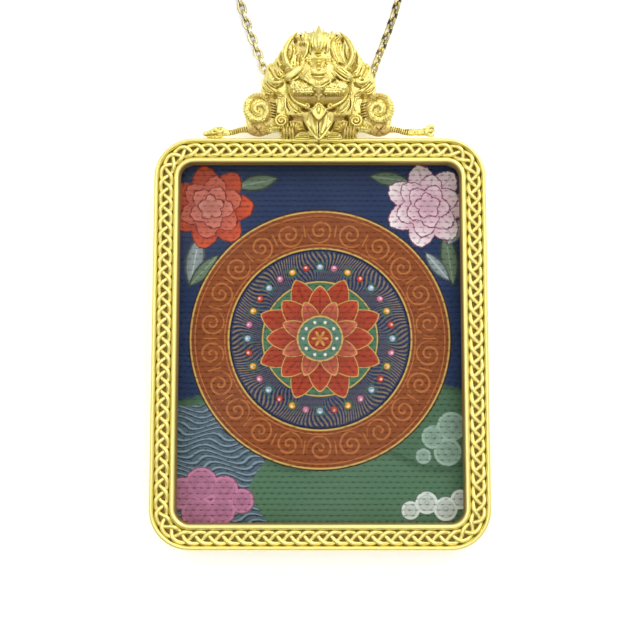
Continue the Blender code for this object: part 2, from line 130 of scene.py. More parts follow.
# How far in the upper part of the right-hand strand lies, where that starts, and the route's fine steps
CHAIN_RIGHT_SHIFT = 0.33
SHIFT_FROM_Y = 33
ROUTE_STEPS = 24

# The coil: its middle, its inner radius, the turns of each layer, the room below it and its points a turn
COIL_Y = (COIL_LOW.y + COIL_HIGH.y) / 2
COIL_INNER = 3.75
COIL_TURNS = 6
COIL_CLEARANCE = 0.02
TURN_POINTS = 28

# The crest's flat back, and the front view that its forms are drawn in: its height, stretch and shift
CREST_BACK = MASK_LOW.z
CREST_DRAWN = 5.0
CREST_STRETCH = 1.03
CREST_ASIDE = -0.2

# The locks below the cheeks and their spacing, the spines on a serpent's coil, and its hatching's depth
LOCKS = 9
LOCK_GAP = 0.34
SPINES = 15
HATCH_DEPTH = 0.13

# The casting: how a groove's sides slope, the wall left behind it, and the triangles kept
GROOVE_SLOPE = 1.6
LEAST_WALL = 0.5
MASK_TRIANGLES = 190000
SERPENT_TRIANGLES = 90000

# How hollows are found: rounds of smoothing, the depth that counts as full, and their share
FINE_HOLLOWS = (10, 0.05, 0.45)
BROAD_HOLLOWS = (70, 0.22, 0.75)

# On frame and cloth, and on fine work: how near corners are that are merged, and in degrees, how sharp
# an edge may be and still be shaded smooth
WELD = 0.002
FINE_WELD = 0.001
SMOOTH = 35
FINE_SMOOTH = 60

# The painting: the medallion's radius, its band's inside and middle, its counts of scrolls, rays and
# beads, the beads' ring, and how soft a painted edge is
MEDALLION = 19.6
BAND_INSIDE = MEDALLION - 6.0
BAND_MIDDLE = MEDALLION - 3.1
SCROLLS = 22
RAYS = 150
BEADS = 32
BEAD_RING = 10.9
EDGE = 0.1

# The cloth's weave: the length of a thread's dip with its gap, and the depth of the relief
DASH = 1.1
THREAD_DEPTH = 0.15

# Gold: its gloss, how clouds and grain change it, and the depths of its grain, tooling and scales
MATTE = 0.34
CLOUDED = 0.1
GRAINED = 0.05
GRAIN_DEPTH = 0.012
TOOLING_DEPTH = 0.07
SCALE_DEPTH = 0.16

# Patina and painted shade: how much rougher and less metallic the brown is, the painted shadow that
# darkens the ledge and the painted shade in the deepest pits
PATINA_MATTE = 0.2
PATINA_DULL = 0.35
LEDGE_PAINTED_SHADOW = (0.35, 0.3, 0.25)
PIT_PAINTED_SHADE = (0.16, 0.12, 0.1)

# The camera, in millimetres and degrees
CAMERA_DISTANCE = 200.0
CAMERA_TILT = 7.5
CAMERA_TARGET = (0.0, -5.1, 0.0)
CAMERA_LENS = 73.65

# The white tent: where it is brightest, the slopes between which its light rises, and its strengths there
TENT_TOP = (0.12, 0.42, 0.9)
TENT_SLOPES = (-0.2, 1.0)
TENT_STRENGTHS = (0.1, 1.0)

# The soft lights, in metres and watts: name, place, size and power; and the floor's size in metres
LIGHTS = (
    ("key", (0.26, 0.36, 0.44), 0.30, 1.3),
    ("fill", (-0.36, 0.05, 0.50), 0.40, 0.6),
    ("near_side", (0.10, -0.38, 0.50), 0.40, 0.5),
)
FLOOR_SIZE = 3
FLOOR_DROP = 0.02


def linear(red, green, blue):
    """A colour given as it shows on a screen, from 0 to 255, as the shares of light that shaders use."""
    return tuple(((level / 255 + 0.055) / 1.055) ** 2.4 for level in (red, green, blue))


def size_property(name, description, default, low, high):
    """A size that a user may change, given in millimetres."""
    return bpy.props.FloatProperty(
        name=name, description=description, default=default * MM, min=low * MM, max=high * MM,
        unit="LENGTH", precision=5,
    )


class PendantSizes(bpy.types.PropertyGroup):
    """Sizes that a user may change."""

    strand: size_property("Plait strand", "Radius of each strand of the plait", 0.335, 0.05, 0.5)
    grain: size_property("Crest detail", "Size of the smallest detail of the casting", 0.07, 0.05, 0.5)
    rib: size_property("Cloth rib", "Distance from one rib of the cloth to the next", 0.82, 0.2, 3)


def colour_property(name, description, default):
    """A colour that a user may change."""
    return bpy.props.FloatVectorProperty(
        name=name, description=description, default=default, subtype="COLOR", size=3, min=0, max=1
    )


class PendantColours(bpy.types.PropertyGroup):
    """Colours that a user may change."""

    gold: colour_property("Gold", "The frame and the crest", (0.92, 0.82, 0.3))
    # Painted highlight: the crest's ridges are coloured this brighter gold
    ridge: colour_property("Bright gold", "The crest's polished ridges", (1.0, 0.97, 0.5))
    # Patina and painted shade: this brown darkens the crest's hollows, grooves and bands, and the frame's
    # channel
    shade_and_patina: colour_property("Patina", "The brown in the crest's hollows", (0.52, 0.34, 0.1))
    bronze: colour_property("Bronze", "The chain", (0.47, 0.41, 0.21))
    navy: colour_property("Navy", "The painting's ground", linear(33, 48, 80))
    rust: colour_property("Rust", "The painting's round band", linear(146, 78, 42))
    red: colour_property("Red", "The painting's lotus", linear(172, 66, 42))
    teal: colour_property("Teal", "The painting's inner ring", linear(87, 124, 106))
    line: colour_property("Gold line", "The painting's gold lines", linear(205, 170, 96))


# ---------------------------------------------------------------- shader arithmetic


class Shade:
    """A shader socket that works in sums: arithmetic on it adds Math nodes."""

    def __init__(self, finish, socket):
        self.finish = finish
        self.socket = socket

    def math(self, operation, *others, clamp=False):
        settings = {"operation": operation, "use_clamp": clamp}
        return self.finish.node("ShaderNodeMath", settings, dict(enumerate((self, *others))))

    def __add__(self, other):
        return self.math("ADD", other)

    def __sub__(self, other):
        return self.math("SUBTRACT", other)

    def __mul__(self, other):
        return self.math("MULTIPLY", other)

    def __pow__(self, other):
        return self.math("POWER", other)

    def __rsub__(self, other):
        return self.math("MULTIPLY_ADD", -1.0, other)

    def __abs__(self):
        return self.math("ABSOLUTE")

    __radd__ = __add__
    __rmul__ = __mul__

    def sine(self):
        return self.math("SINE")

    def in_cell(self):
        """How far this has come through its unit cell, from 0 to 1."""
        return self.math("FRACT")

    def fold(self, half):
        """Runs from 0 up to half and back to 0, over and over."""
        return self.math("PINGPONG", half)

    def share(self, slope=1.0, offset=0.0):
        """This times the slope, plus the offset, held between 0 and 1."""
        return self.math("MULTIPLY_ADD", slope, offset, clamp=True)

    def below(self, edge, soft=0.1):
        """A mask that is 1 where this is less than edge, and 0 where it is more."""
        if isinstance(edge, Shade):
            return (edge - self).share(1 / soft, 0.5)
        return self.share(-1 / soft, edge / soft + 0.5)

    def near(self, edge, width, soft=0.08):
        """A mask that is 1 where this is within half a width of edge."""
        return abs(self - edge).below(width / 2, soft)


def hypotenuse(across, up):
    """How long a step across and up is."""
    return (across * across + up * up).math("SQRT")


class Finish:
    """A procedural material, with the tree that its nodes go in and the shader that they feed."""

    def __init__(self, name, **inputs):
        self.material = bpy.data.materials.new(name)
        self.material.use_nodes = True
        self.tree = self.material.node_tree
        self.shader = self.tree.nodes["Principled BSDF"]
        for socket, value in inputs.items():
            place = self.shader.inputs[socket.replace("_", " ")]
            place.default_value = (*value, 1.0) if place.type == "RGBA" else value

    def node(self, kind, settings=None, inputs=None, output=0):
        """Adds a node: its settings, then its sockets' values or links. Gives one of its outputs."""
        made = self.tree.nodes.new(kind)
        for name, value in (settings or {}).items():
            setattr(made, name, value)
        for name, value in (inputs or {}).items():
            socket = made.inputs[name]
            if isinstance(value, Shade):
                self.tree.links.new(value.socket, socket)
            elif socket.type == "RGBA":
                socket.default_value = (*value[:3], 1.0)
            else:
                socket.default_value = value
        return Shade(self, made.outputs[output])

    def feed(self, socket, value):
        """Links a value to one of the shader's sockets."""
        self.tree.links.new(value.socket, self.shader.inputs[socket])

    def blend(self, share, first, second):
        """Goes from the first colour to the second as the share goes from 0 to 1."""
        inputs = {0: share, 6: first, 7: second}
        return self.node("ShaderNodeMix", {"data_type": "RGBA"}, inputs, 2)

    def darken(self, colour, share, shade=(0.0, 0.0, 0.0)):
        """Multiplies a colour towards a darker shade, by the share."""
        settings = {"data_type": "RGBA", "blend_type": "MULTIPLY"}
        return self.node("ShaderNodeMix", settings, {0: share, 6: colour, 7: shade}, 2)

    def millimetres(self, shift=(0.0, 0.0, 0.0)):
        """Where a point of the surface is, in millimetres, with the shift added."""
        place = self.node("ShaderNodeTexCoord", output=3)
        inputs = {"Vector": place, "Location": shift, "Scale": (1 / MM,) * 3}
        return self.node("ShaderNodeMapping", inputs=inputs)

    def part(self, vector, axis):
        """One coordinate of a vector."""
        return self.node("ShaderNodeSeparateXYZ", inputs={0: vector}, output="XYZ".index(axis))

    def inset(self):
        """How far in from the frame's outer edge a point lies, in millimetres."""
        where = self.millimetres((0, -FRAME_MIDDLE, 0))
        x = abs(self.part(where, "X")) - (FRAME_WIDTH / 2 - CORNER)
        y = abs(self.part(where, "Y")) - (FRAME_HEIGHT / 2 - CORNER)
        round_corner = (x.math("MAXIMUM", 0) ** 2 + y.math("MAXIMUM", 0) ** 2) ** 0.5
        return CORNER - round_corner - x.math("MAXIMUM", y).math("MINIMUM", 0)

    def noise(self, where, scale, detail=3.0):
        """Cloudy noise from 0 to 1, with features about 1 / scale millimetres across."""
        inputs = {"Vector": where, "Scale": scale, "Detail": detail}
        return self.node("ShaderNodeTexNoise", inputs=inputs)

    def relief(self, height, depth):
        """Feeds the shader's normal with relief of that depth in millimetres."""
        inputs = {"Height": height, "Distance": depth * MM, "Strength": 1.0}
        self.feed("Normal", self.node("ShaderNodeBump", inputs=inputs))


def gold_finish(name, shade_and_patina=False):
    """Matte gold plating with a soft grain; if asked, with patina and painted shade in the frame's
    channel and a painted shadow on its ledge.
    """
    colours = bpy.context.scene.pendant_colours
    base = Vector(colours.gold)
    made = Finish(name, Metallic=1.0)
    where = made.millimetres()
    cloud = made.noise(where, 0.35)
    grain = made.noise(where, 8.0, 2.0)
    colour = made.blend(cloud, base * 0.96, base * 1.04)
    gloss = MATTE + CLOUDED * cloud + GRAINED * grain
    if shade_and_patina:
        # Patina and painted shade in the channel, fading in below a level; a painted shadow on the ledge
        # and inwards from it
        inset = made.inset()
        middle, half = (OUTER_RIM + CHANNEL_END) / 2, (CHANNEL_END - OUTER_RIM) / 2
        channel = abs(inset - middle).below(half + 0.05, 0.1)
        deep = (SHADE_AND_PATINA_LEVEL - made.part(where, "Z")).share(1 / SHADE_AND_PATINA_FADE)
        ledge_shadow = (inset - (INNER_RIM_END - 0.12)).share(6.0)
        sunk = (channel * deep).math("MAXIMUM", ledge_shadow)
        colour = made.darken(made.blend(sunk, colour, colours.shade_and_patina), ledge_shadow, LEDGE_PAINTED_SHADOW)
        gloss = gloss + sunk * PATINA_MATTE
        made.feed("Metallic", 1.0 - sunk * PATINA_DULL)
    made.feed("Base Color", colour)
    made.feed("Roughness", gloss)
    made.relief(grain * GRAIN_DEPTH, 1.0)
    return made.material


def cast_gold_finish(name, scale_depth=0.0):
    """The crest's gold: a painted highlight on its ridges, patina and painted shade in its hollows,
    painted shade darkest in the deepest pits, and scales if asked.
    """
    colours = bpy.context.scene.pendant_colours
    base = Vector(colours.gold)
    made = Finish(name)
    where = made.millimetres()
    cloud = made.noise(where, 0.5)
    grain = made.noise(where, 9.0, 2.0)
    hollow = made.node("ShaderNodeAttribute", {"attribute_name": "hollow"}, output=2)
    # Patina and painted shade in the hollows
    sunk = (hollow + (cloud - 0.5) * 0.3).share(1.15, -0.34)
    # Painted highlight: the ridges are coloured brighter
    ridge_highlight = hollow.share(-1.3)
    # Painted shade: the deepest pits are darkened further
    painted_pit_shade = hollow.share(1.2, -1.4)
    colour = made.blend(sunk * 0.82, made.blend(ridge_highlight, base, colours.ridge), colours.shade_and_patina)
    made.feed("Base Color", made.darken(colour, painted_pit_shade, PIT_PAINTED_SHADE))
    made.feed("Metallic", 1.0 - sunk * PATINA_DULL)
    made.feed("Roughness", 0.38 + 0.08 * cloud + 0.04 * grain + sunk * PATINA_MATTE)
    tooling = made.noise(where, 3.2)
    scales = made.node("ShaderNodeTexVoronoi", inputs={"Vector": where, "Scale": 2.3})
    made.relief(grain * GRAIN_DEPTH + tooling * TOOLING_DEPTH - scales * scale_depth, 1.0)
    return made.material


def bronze_finish():
    """The chain's antique bronze, with a painted highlight on top of each link and painted shade beneath.
    """
    base = Vector(bpy.context.scene.pendant_colours.bronze)
    made = Finish("antique_bronze", Metallic=1.0)
    where = made.millimetres()
    cloud = made.noise(where, 0.9)
    # Painted light: dark low on each link and bright high on it, by height above the floor, with some
    # noise
    painted_light_by_height = made.part(where, "Z") * 1.3 - 0.95 + cloud * 0.6
    made.feed("Base Color", made.blend(painted_light_by_height.share(), base * 0.16, base * 1.55))
    made.feed("Roughness", 0.1 + 0.2 * cloud)
    return made.material


def glass_finish():
    """Clear glass: a reflection that grows towards the edge of sight, and a faint haze on the left."""
    made = Finish("clear_glass")
    made.tree.nodes.remove(made.shader)
    facing = made.node("ShaderNodeLayerWeight", inputs={"Blend": 0.5}, output=1)
    through = made.node("ShaderNodeBsdfTransparent", inputs={"Color": (0.99, 0.992, 0.99)})
    shine = made.node("ShaderNodeBsdfGlossy", inputs={"Color": (1, 1, 1), "Roughness": 0.05})
    place = made.millimetres()
    left = (0.6 - made.part(place, "X") * 0.03).share()
    haze = (made.noise(place, 0.05) - 0.42).share(5.0) * left
    edge, least, hazy = 0.9, 0.002, 0.01
    share = facing**5 * edge + least + haze * hazy
    mixed = made.node("ShaderNodeMixShader", inputs={0: share, 1: through, 2: shine})
    made.tree.links.new(mixed.socket, made.tree.nodes["Material Output"].inputs["Surface"])
    return made.material


# ---------------------------------------------------------------- the painted cloth


class Painting(Finish):
    """Paint on cloth: each colour is laid over the ones before it, through a mask from 0 to 1."""

    def __init__(self, name, ground, **inputs):
        super().__init__(name, **inputs)
        self.where = self.millimetres((0, -FRAME_MIDDLE, 0))
        self.x = self.part(self.where, "X")
        self.y = self.part(self.where, "Y")
        self.soft_noise = self.noise(self.where, 0.35)
        self.fine_noise = self.noise(self.where, 1.6)
        self.colour = ground

    def lay(self, mask, colour):
        """Lays a colour over the painting so far."""
        self.colour = self.blend(mask, self.colour, colour)

    def disc(self, reach, radius, colour):
        """Lays a round patch of colour."""
        self.lay(reach.below(radius, EDGE), colour)

    def mottled(self, dark, light):
        """A colour that drifts between two others over the cloth."""
        return self.blend(self.soft_noise, dark, light)

    def from_centre(self, x, y):
        """How far to the right of a centre every point lies, and how far up."""
        return self.x - x, self.y - y

    def around(self, x, y, turn=0.0):
        """The distance and the direction of every point from a centre."""
        right, up = self.from_centre(x, y)
        return hypotenuse(right, up), up.math("ARCTAN2", right) + turn

    def blot(self, circles):
        """How far every point lies outside the nearest of some circles, each x, y and radius."""
        nearest = None
        for x, y, radius in circles:
            far = hypotenuse(*self.from_centre(x, y)) - radius
            nearest = far if nearest is None else nearest.math("SMOOTH_MIN", far, 0.35)
        return nearest

    def leaf(self, x, y, reach, width, angle, colour):
        """A pointed leaf with a dark edge and a pale midrib."""
        right, up = self.from_centre(x, y)
        colour = Vector(colour)
        turn = math.radians(angle)
        along = right * math.cos(turn) + up * math.sin(turn)
        across = up * math.cos(turn) - right * math.sin(turn)
        shape = abs(across) * (1 / width) + (along * along) * (1 / reach**2)
        self.lay(shape.below(1.0, 0.15), colour * 0.35)
        middle = abs(across).below(0.3 * width, width)
        self.lay(shape.below(0.78, 0.15), self.blend(middle, colour, colour * 1.5))
        self.lay(shape.below(0.7, 0.2) * abs(across).below(0.07, 0.08), colour * 2.2)

    def cloud(self, circles, colour, edge):
        """A heaped cloud: scalloped, outlined and streaked, with a contour inside its edge."""
        far = self.blot(circles)
        colour = Vector(colour)
        self.lay(far.below(0.0, 0.12), edge)
        shade = (far * 1.4 + self.fine_noise * 1.2).sine() * 0.5 + 0.5
        self.lay(far.below(-0.16, EDGE), self.blend(shade, colour * 0.72, colour * 1.2))
        contour = (far * (1 / 0.85) + 0.3).in_cell().near(0.5, 0.12, 0.1)
        self.lay(contour * far.below(-0.35, EDGE) * 0.5, edge)

    def petals(self, centre, count, base, tip, sharp, colours, edge, turn=0.0, ruffle=0.0):
        """A ring of petals round a centre: outlined, and shaded from root to tip."""
        reach, angle = self.around(*centre, turn)
        half = math.pi / count
        aside = angle.fold(half) * (1 / half)
        rim = base + (tip - base) * (1 - aside**sharp)
        if ruffle:
            rim = rim + (self.fine_noise - 0.5) * ruffle
        self.disc(reach, rim, edge)
        outward = (reach * (1 / tip)) ** 1.6 - aside * 0.25
        self.disc(reach, rim - 0.2, self.blend(outward, *colours))
        vein = aside.below(0.07, 0.08) * reach.below(rim - 0.7, 0.2)
        self.lay(vein * 0.6, colours[0])


def paint_ground(art, palette):
    """Navy sky, two green hills and a rippled lake."""
    art.lay(art.soft_noise, Vector(palette.navy) * 1.5)
    green = Vector(linear(78, 110, 84))
    rise = art.y + (art.x * 0.24 + 0.8).sine() * 1.3 + (art.fine_noise - 0.5) * 1.2
    art.lay(rise.below(-7.5, 0.25), green * 0.5)
    art.lay(rise.below(-8.0, 1.6), green)
    rise = art.y - (art.x * 0.3 - 0.6).sine() * 1.6 + (art.fine_noise - 0.5)
    art.lay(rise.below(-17.0, 0.25), green * 0.45)
    art.lay(rise.below(-17.4, 2.2), green * 1.15)
    grey = Vector(linear(86, 103, 114))
    edge = art.x + (art.y * 0.5).sine() * 1.5
    lake = edge.below(-9.0, 0.3) * art.y.below(-9.5, 0.3)
    art.lay(lake, grey)
    flow = art.y + (art.x * 0.9 + (art.y * 0.7).sine() * 1.4).sine() * 0.55
    ripples = (flow * (1 / 0.85)).in_cell()
    art.lay(lake * ripples.below(0.22, 0.12), grey * 0.45)
    art.lay(lake * ripples.near(0.4, 0.24, 0.12), grey * 2.3)


def paint_corners(art):
    """Two ruffled flowers and their leaves at the top corners, and heaped clouds at the bottom ones."""
    sage = linear(94, 112, 92)
    pale = linear(128, 140, 140)
    for leaf in (
        (-19.0, 12.5, 4.2, 1.5, 80, pale),
        (-17.6, 11.0, 3.4, 1.1, 48, sage),
        (-9.6, 24.6, 3.4, 1.3, 12, sage),
        (19.6, 12.8, 4.4, 1.4, 98, sage),
        (17.8, 11.6, 3.0, 1.0, 130, pale),
        (10.6, 25.2, 3.2, 1.2, -8, sage),
        (20.6, 17.0, 2.6, 1.2, 60, pale),
    ):
        art.leaf(*leaf)
    # Each flower's centre, and the colours of its roots, tips, heart and edges
    for centre, root, tip, heart, edge in (
        ((-16.6, 20.8), (158, 50, 32), (214, 92, 54), (216, 140, 124), (120, 38, 26)),
        ((16.4, 21.0), (196, 142, 160), (246, 240, 240), (226, 190, 204), (128, 66, 96)),
    ):
        root, tip, heart = (Vector(linear(*colour)) for colour in (root, tip, heart))
        for number, (size, count) in enumerate(((6.6, 7), (5.0, 6), (3.5, 5), (2.1, 5))):
            colours = (root.lerp(heart * 0.7, number / 4), tip.lerp(heart, number / 3))
            turn = 0.7 * number
            art.petals(centre, count, size * 0.72, size, 1.6, colours, linear(*edge), turn, ruffle=0.9)
    pink = Vector(linear(196, 128, 160))
    mist = Vector(linear(150, 178, 160))
    white = linear(214, 222, 214)
    heap = (
        (-20.5, -22.5, 2.4), (-17.6, -21.2, 2.6), (-14.2, -22.0, 2.2), (-11.6, -23.6, 1.9),
        (-18.0, -25.4, 2.6), (-14.6, -25.0, 2.2),
    )
    art.cloud(heap, pink, pink * 0.4)
    heap = ((19.6, -12.6, 2.3), (16.9, -14.2, 1.9), (19.0, -16.4, 2.2), (15.4, -17.0, 1.3))
    art.cloud(heap, mist, mist * 0.35)
    heap = ((13.4, -25.0, 1.5), (15.8, -23.9, 1.8), (18.6, -24.8, 1.9), (20.8, -23.4, 1.6))
    art.cloud(heap, white, linear(92, 110, 96))


def paint_band(art, palette, reach, angle):
    """The medallion's rust band: a pale scroll that curls from cell to cell between two lines."""
    line = Vector(palette.line)
    rust = Vector(palette.rust)
    art.disc(reach, MEDALLION + 0.2, linear(60, 30, 20))
    art.disc(reach, MEDALLION, line)
    art.disc(reach, MEDALLION - 0.25, art.mottled(rust * 0.68, rust * 1.05))
    cell = 2 * math.pi / SCROLLS
    side = angle.fold(cell) * BAND_MIDDLE - cell * BAND_MIDDLE / 2
    outward = reach - BAND_MIDDLE
    curl_reach = hypotenuse(side, outward)
    curl_turn = outward.math("ARCTAN2", side) * (1 / (2 * math.pi))
    curl = (curl_turn + curl_reach * 0.95).in_cell().near(0.5, 0.26, 0.16)
    scroll = curl * curl_reach.below(2.0, 0.3)
    stem = (angle.fold(cell / 2) * BAND_MIDDLE).below(0.1, 0.1) * abs(outward).below(1.0, 0.2)
    for form in (stem, reach.near(MEDALLION - 0.8, 0.16), reach.near(BAND_INSIDE + 0.75, 0.16)):
        scroll = scroll.math("MAXIMUM", form)
    art.lay(scroll * reach.below(MEDALLION - 0.3, EDGE) * 0.75, linear(196, 122, 66))
    art.disc(reach, BAND_INSIDE + 0.3, line)
    art.disc(reach, BAND_INSIDE + 0.05, linear(26, 24, 34))


def paint_rays(art, palette, reach, angle):
    """The medallion's navy disc, with thin gold rays that sway and fade towards its middle."""
    navy = Vector(palette.navy)
    art.disc(reach, BAND_INSIDE - 0.15, art.mottled(navy * 0.85, navy * 1.7))
    sway = angle + (reach * 0.75 + angle * 8).sine() * 0.05
    ray = (sway * (RAYS / (2 * math.pi))).in_cell().near(0.5, 0.34, 0.3)
    strength = (reach * (1 / BAND_INSIDE)) ** 3 * 0.5 + 0.08
    art.lay(ray * reach.below(BAND_INSIDE - 0.4, 0.3) * strength, Vector(palette.line) * 0.95)


def paint_lotus(art, palette, centre, reach, angle):
    """The medallion's green disc, under a lotus of three rings of petals with a seeded heart."""
    line = Vector(palette.line)
    red = Vector(palette.red)
    deep = red * 0.55
    leaf = Vector(linear(74, 112, 84))
    art.disc(reach, 8.9, leaf * 0.35)
    art.disc(reach, 8.75, line)
    art.disc(reach, 8.55, art.mottled(leaf * 0.85, leaf * 1.2))
    between = math.pi / 8
    art.petals(centre, 8, 5.4, 9.7, 1.3, (deep, red * 1.15), line, between)
    art.petals(centre, 8, 4.9, 8.1, 1.3, (deep, red * 1.3), line)
    art.petals(centre, 8, 3.4, 6.1, 1.3, (deep, linear(208, 110, 84)), line, between)
    art.disc(reach, 3.5, line)
    art.disc(reach, 3.25, palette.teal)
    seed_ring = 2.55
    seed = hypotenuse(angle.fold(math.pi / 10) * seed_ring, reach - seed_ring)
    art.disc(seed, 0.24, linear(235, 228, 210))
    art.disc(reach, 1.9, line)
    art.disc(reach, 1.7, red * 0.9)
    art.petals(centre, 6, 0.5, 1.5, 1.2, (linear(190, 120, 60), linear(235, 190, 96)), deep)


def paint_beads(art, reach, angle):
    """A garland of round beads between leaves, in four colours by turns."""
    across = reach - BEAD_RING
    blue, pink, amber, coral = (156, 178, 198), (205, 122, 150), (232, 172, 66), (196, 76, 52)
    for offset, shade in enumerate((blue, pink, amber, coral)):
        colour = linear(*shade)
        turn = angle + offset * 2 * math.pi / BEADS
        along = turn.fold(4 * math.pi / BEADS) * BEAD_RING
        if offset % 2 == 0:
            leaf = abs(across).near(0.55, 0.35, 0.2) * along.below(0.9, 0.3)
            art.lay(leaf, linear(60, 100, 84))
        bead = hypotenuse(along, across)
        art.disc(bead, 0.55, Vector(colour) * 0.3)
        art.disc(bead, 0.43, colour)
        shine = hypotenuse(along, across - 0.12)
        art.lay(shine.below(0.17, 0.15), Vector(colour).lerp(Vector((1, 1, 1)), 0.6))


def painted_finish():
    """The painted cloth: opaque colours over a ribbed weave whose threads dip in staggered dashes, with
    painted shade in the dips.
    """
    palette = bpy.context.scene.pendant_colours
    art = Painting("painted_cloth", palette.navy, Specular_IOR_Level=0.08)
    paint_ground(art, palette)
    paint_corners(art)
    centre = (0.0, 0.6)
    reach, angle = art.around(*centre)
    paint_band(art, palette, reach, angle)
    paint_rays(art, palette, reach, angle)
    paint_beads(art, reach, angle)
    paint_lotus(art, palette, centre, reach, angle)
    row = art.y * (MM / bpy.context.scene.pendant_sizes.rib)
    odd = row.math("FLOOR").fold(1.0)
    dash = (art.x * (1 / DASH) + odd * 0.5).in_cell().near(0.5, 0.36, 0.12)
    from_groove = abs(row.in_cell() - 0.5)
    # The thread dips sink the relief, and their colour is darkened with painted shade
    sunk = from_groove.below(0.12, 0.12) * (0.15 + 0.85 * dash)
    colour = art.darken(art.colour, sunk * 0.55, (0.25, 0.25, 0.25))
    colour = art.darken(colour, art.fine_noise * 0.2, (0.6, 0.6, 0.6))
    art.feed("Base Color", colour)
    art.feed("Roughness", 0.5 + 0.2 * art.fine_noise)
    thread = from_groove.math("SQRT") * 0.5 - sunk * 0.5 + art.fine_noise * 0.15
    art.relief(thread, THREAD_DEPTH)
    return art.material


# ---------------------------------------------------------------- modelling


def select_only(obj):
    """Makes obj the only selected object, and the active one."""
    bpy.ops.object.select_all(action="DESELECT")
    obj.select_set(True)
    bpy.context.view_layer.objects.active = obj


def edit(obj, everything=True):
    """Opens obj in edit mode, with everything selected or nothing."""
    select_only(obj)
    bpy.ops.object.mode_set(mode="EDIT")
    bpy.ops.mesh.select_mode(type="FACE")
    bpy.ops.mesh.select_all(action="SELECT" if everything else "DESELECT")


def done_editing():
    """Goes back to object mode."""
    bpy.ops.object.mode_set(mode="OBJECT")


def tidy_shell(obj, weld=WELD):
    """Merges doubled corners and turns every face outwards."""
    edit(obj)
    bpy.ops.mesh.remove_doubles(threshold=weld)
    bpy.ops.mesh.normals_make_consistent(inside=False)
    done_editing()


def modify(obj, kind, **settings):
    """Adds a modifier with its settings, and applies it."""
    modifier = obj.modifiers.new(kind.lower(), kind)
    for name, value in settings.items():
        setattr(modifier, name, value)
    select_only(obj)
    bpy.ops.object.modifier_apply(modifier=modifier.name)


def add(name, data):
    """Puts a new object with that mesh, curve, light or camera into the scene."""
    obj = bpy.data.objects.new(name, data)
    bpy.context.scene.collection.objects.link(obj)
    return obj


def join(objects):
    """Joins meshes into the first, and gives it back."""
    bpy.ops.object.select_all(action="DESELECT")
    for obj in objects:
        obj.select_set(True)
    bpy.context.view_layer.objects.active = objects[0]
    bpy.ops.object.join()
    return objects[0]


def finish_piece(obj, name, finish, nodes, smooth=SMOOTH):
    """Brings a piece to metres at the origin, names, shades and finishes it, and hangs it on the body."""
    select_only(obj)
    bpy.ops.object.transform_apply(location=True, rotation=True, scale=True)
    obj.data.transform(Matrix.Scale(MM, 4))
    obj.name = obj.data.name = name
    bpy.ops.object.shade_smooth_by_angle(angle=math.radians(smooth))
    obj.data.materials.clear()
    obj.data.materials.append(finish)
    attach(obj, BODY)
    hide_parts(*nodes)
    obj.select_set(False)
    return obj


def rounded_plate(inset, height):
    """A flat face of the frame's outline, that far in from its edge."""
    bpy.ops.object.select_all(action="DESELECT")
    bpy.ops.mesh.primitive_plane_add(size=1, location=(0, FRAME_MIDDLE, height))
    plate = bpy.context.object
    plate.scale = (FRAME_WIDTH - 2 * inset, FRAME_HEIGHT - 2 * inset, 1)
    bpy.ops.object.transform_apply(location=True, rotation=True, scale=True)
    edit(plate)
    bpy.ops.mesh.bevel(offset=CORNER - inset, segments=CORNER_STEPS, affect="VERTICES")
    done_editing()
    return plate


def step_in(inward, rise=0.0):
    """Insets the selected face, and moves it out along its own normal."""
    bpy.ops.mesh.inset(thickness=inward, depth=rise, use_even_offset=True)


def step_up(rise):
    """Extrudes the selected face straight up, or down where rise is negative."""
    bpy.ops.mesh.extrude_region_move(TRANSFORM_OT_translate={"value": (0, 0, rise)})


def round_over(width, rise, steps=8):
    """Takes the selected face over a rounded bead of that width and rise."""
    angles = [math.pi * step / steps for step in range(steps + 1)]
    for start, stop in zip(angles, angles[1:]):
        inward = width / 2 * (math.cos(start) - math.cos(stop))
        step_in(inward, rise * (math.sin(stop) - math.sin(start)))


def select_flat_face(obj, height):
    """Selects the biggest level face at that height, in edit mode."""
    shape = bmesh.from_edit_mesh(obj.data)
    level = [face for face in shape.faces if abs(face.normal.z) > 0.9]
    level = [face for face in level if abs(face.calc_center_median().z - height) < 0.01]
    for face in shape.faces:
        face.select_set(False)
    max(level, key=lambda face: face.calc_area()).select_set(True)
    bmesh.update_edit_mesh(obj.data)


class PENDANT_OT_frame(bpy.types.Operator):
    """Models the cast frame: two rims with a channel between, a ledge over the glass and a pocket"""

    bl_idname = "pendant.frame"
    bl_label = "Frame"

    def execute(self, context):
        foot = 0.35
        foot_bevel = 0.3
        shoulder = 5.45
        ledge_fall = 0.08
        ring = rounded_plate(0, foot)
        edit(ring)
        step_up(shoulder - foot)
        round_over(OUTER_RIM, FRAME_TOP - shoulder)
        step_up(CHANNEL_FLOOR - shoulder)
        step_in(CHANNEL_END - OUTER_RIM)
        step_up(shoulder - CHANNEL_FLOOR)
        round_over(INNER_RIM_END - CHANNEL_END, FRAME_TOP - shoulder)
        step_up(LEDGE_TOP - shoulder)
        step_in(LEDGE_END - INNER_RIM_END, -ledge_fall)
        step_up(LEDGE_UNDERSIDE - LEDGE_TOP + ledge_fall)
        bpy.ops.mesh.delete(type="ONLY_FACE")
        select_flat_face(ring, foot)
        step_in(foot_bevel)
        step_up(-foot)
        step_in(POCKET_WALL - foot_bevel)
        step_up(LEDGE_UNDERSIDE)
        step_in(LEDGE_END - POCKET_WALL)
        bpy.ops.mesh.delete(type="ONLY_FACE")
        done_editing()
        tidy_shell(ring)
        finish_piece(ring, "cast_frame", gold_finish("matte_gold", True), ["frame"])
        return {"FINISHED"}


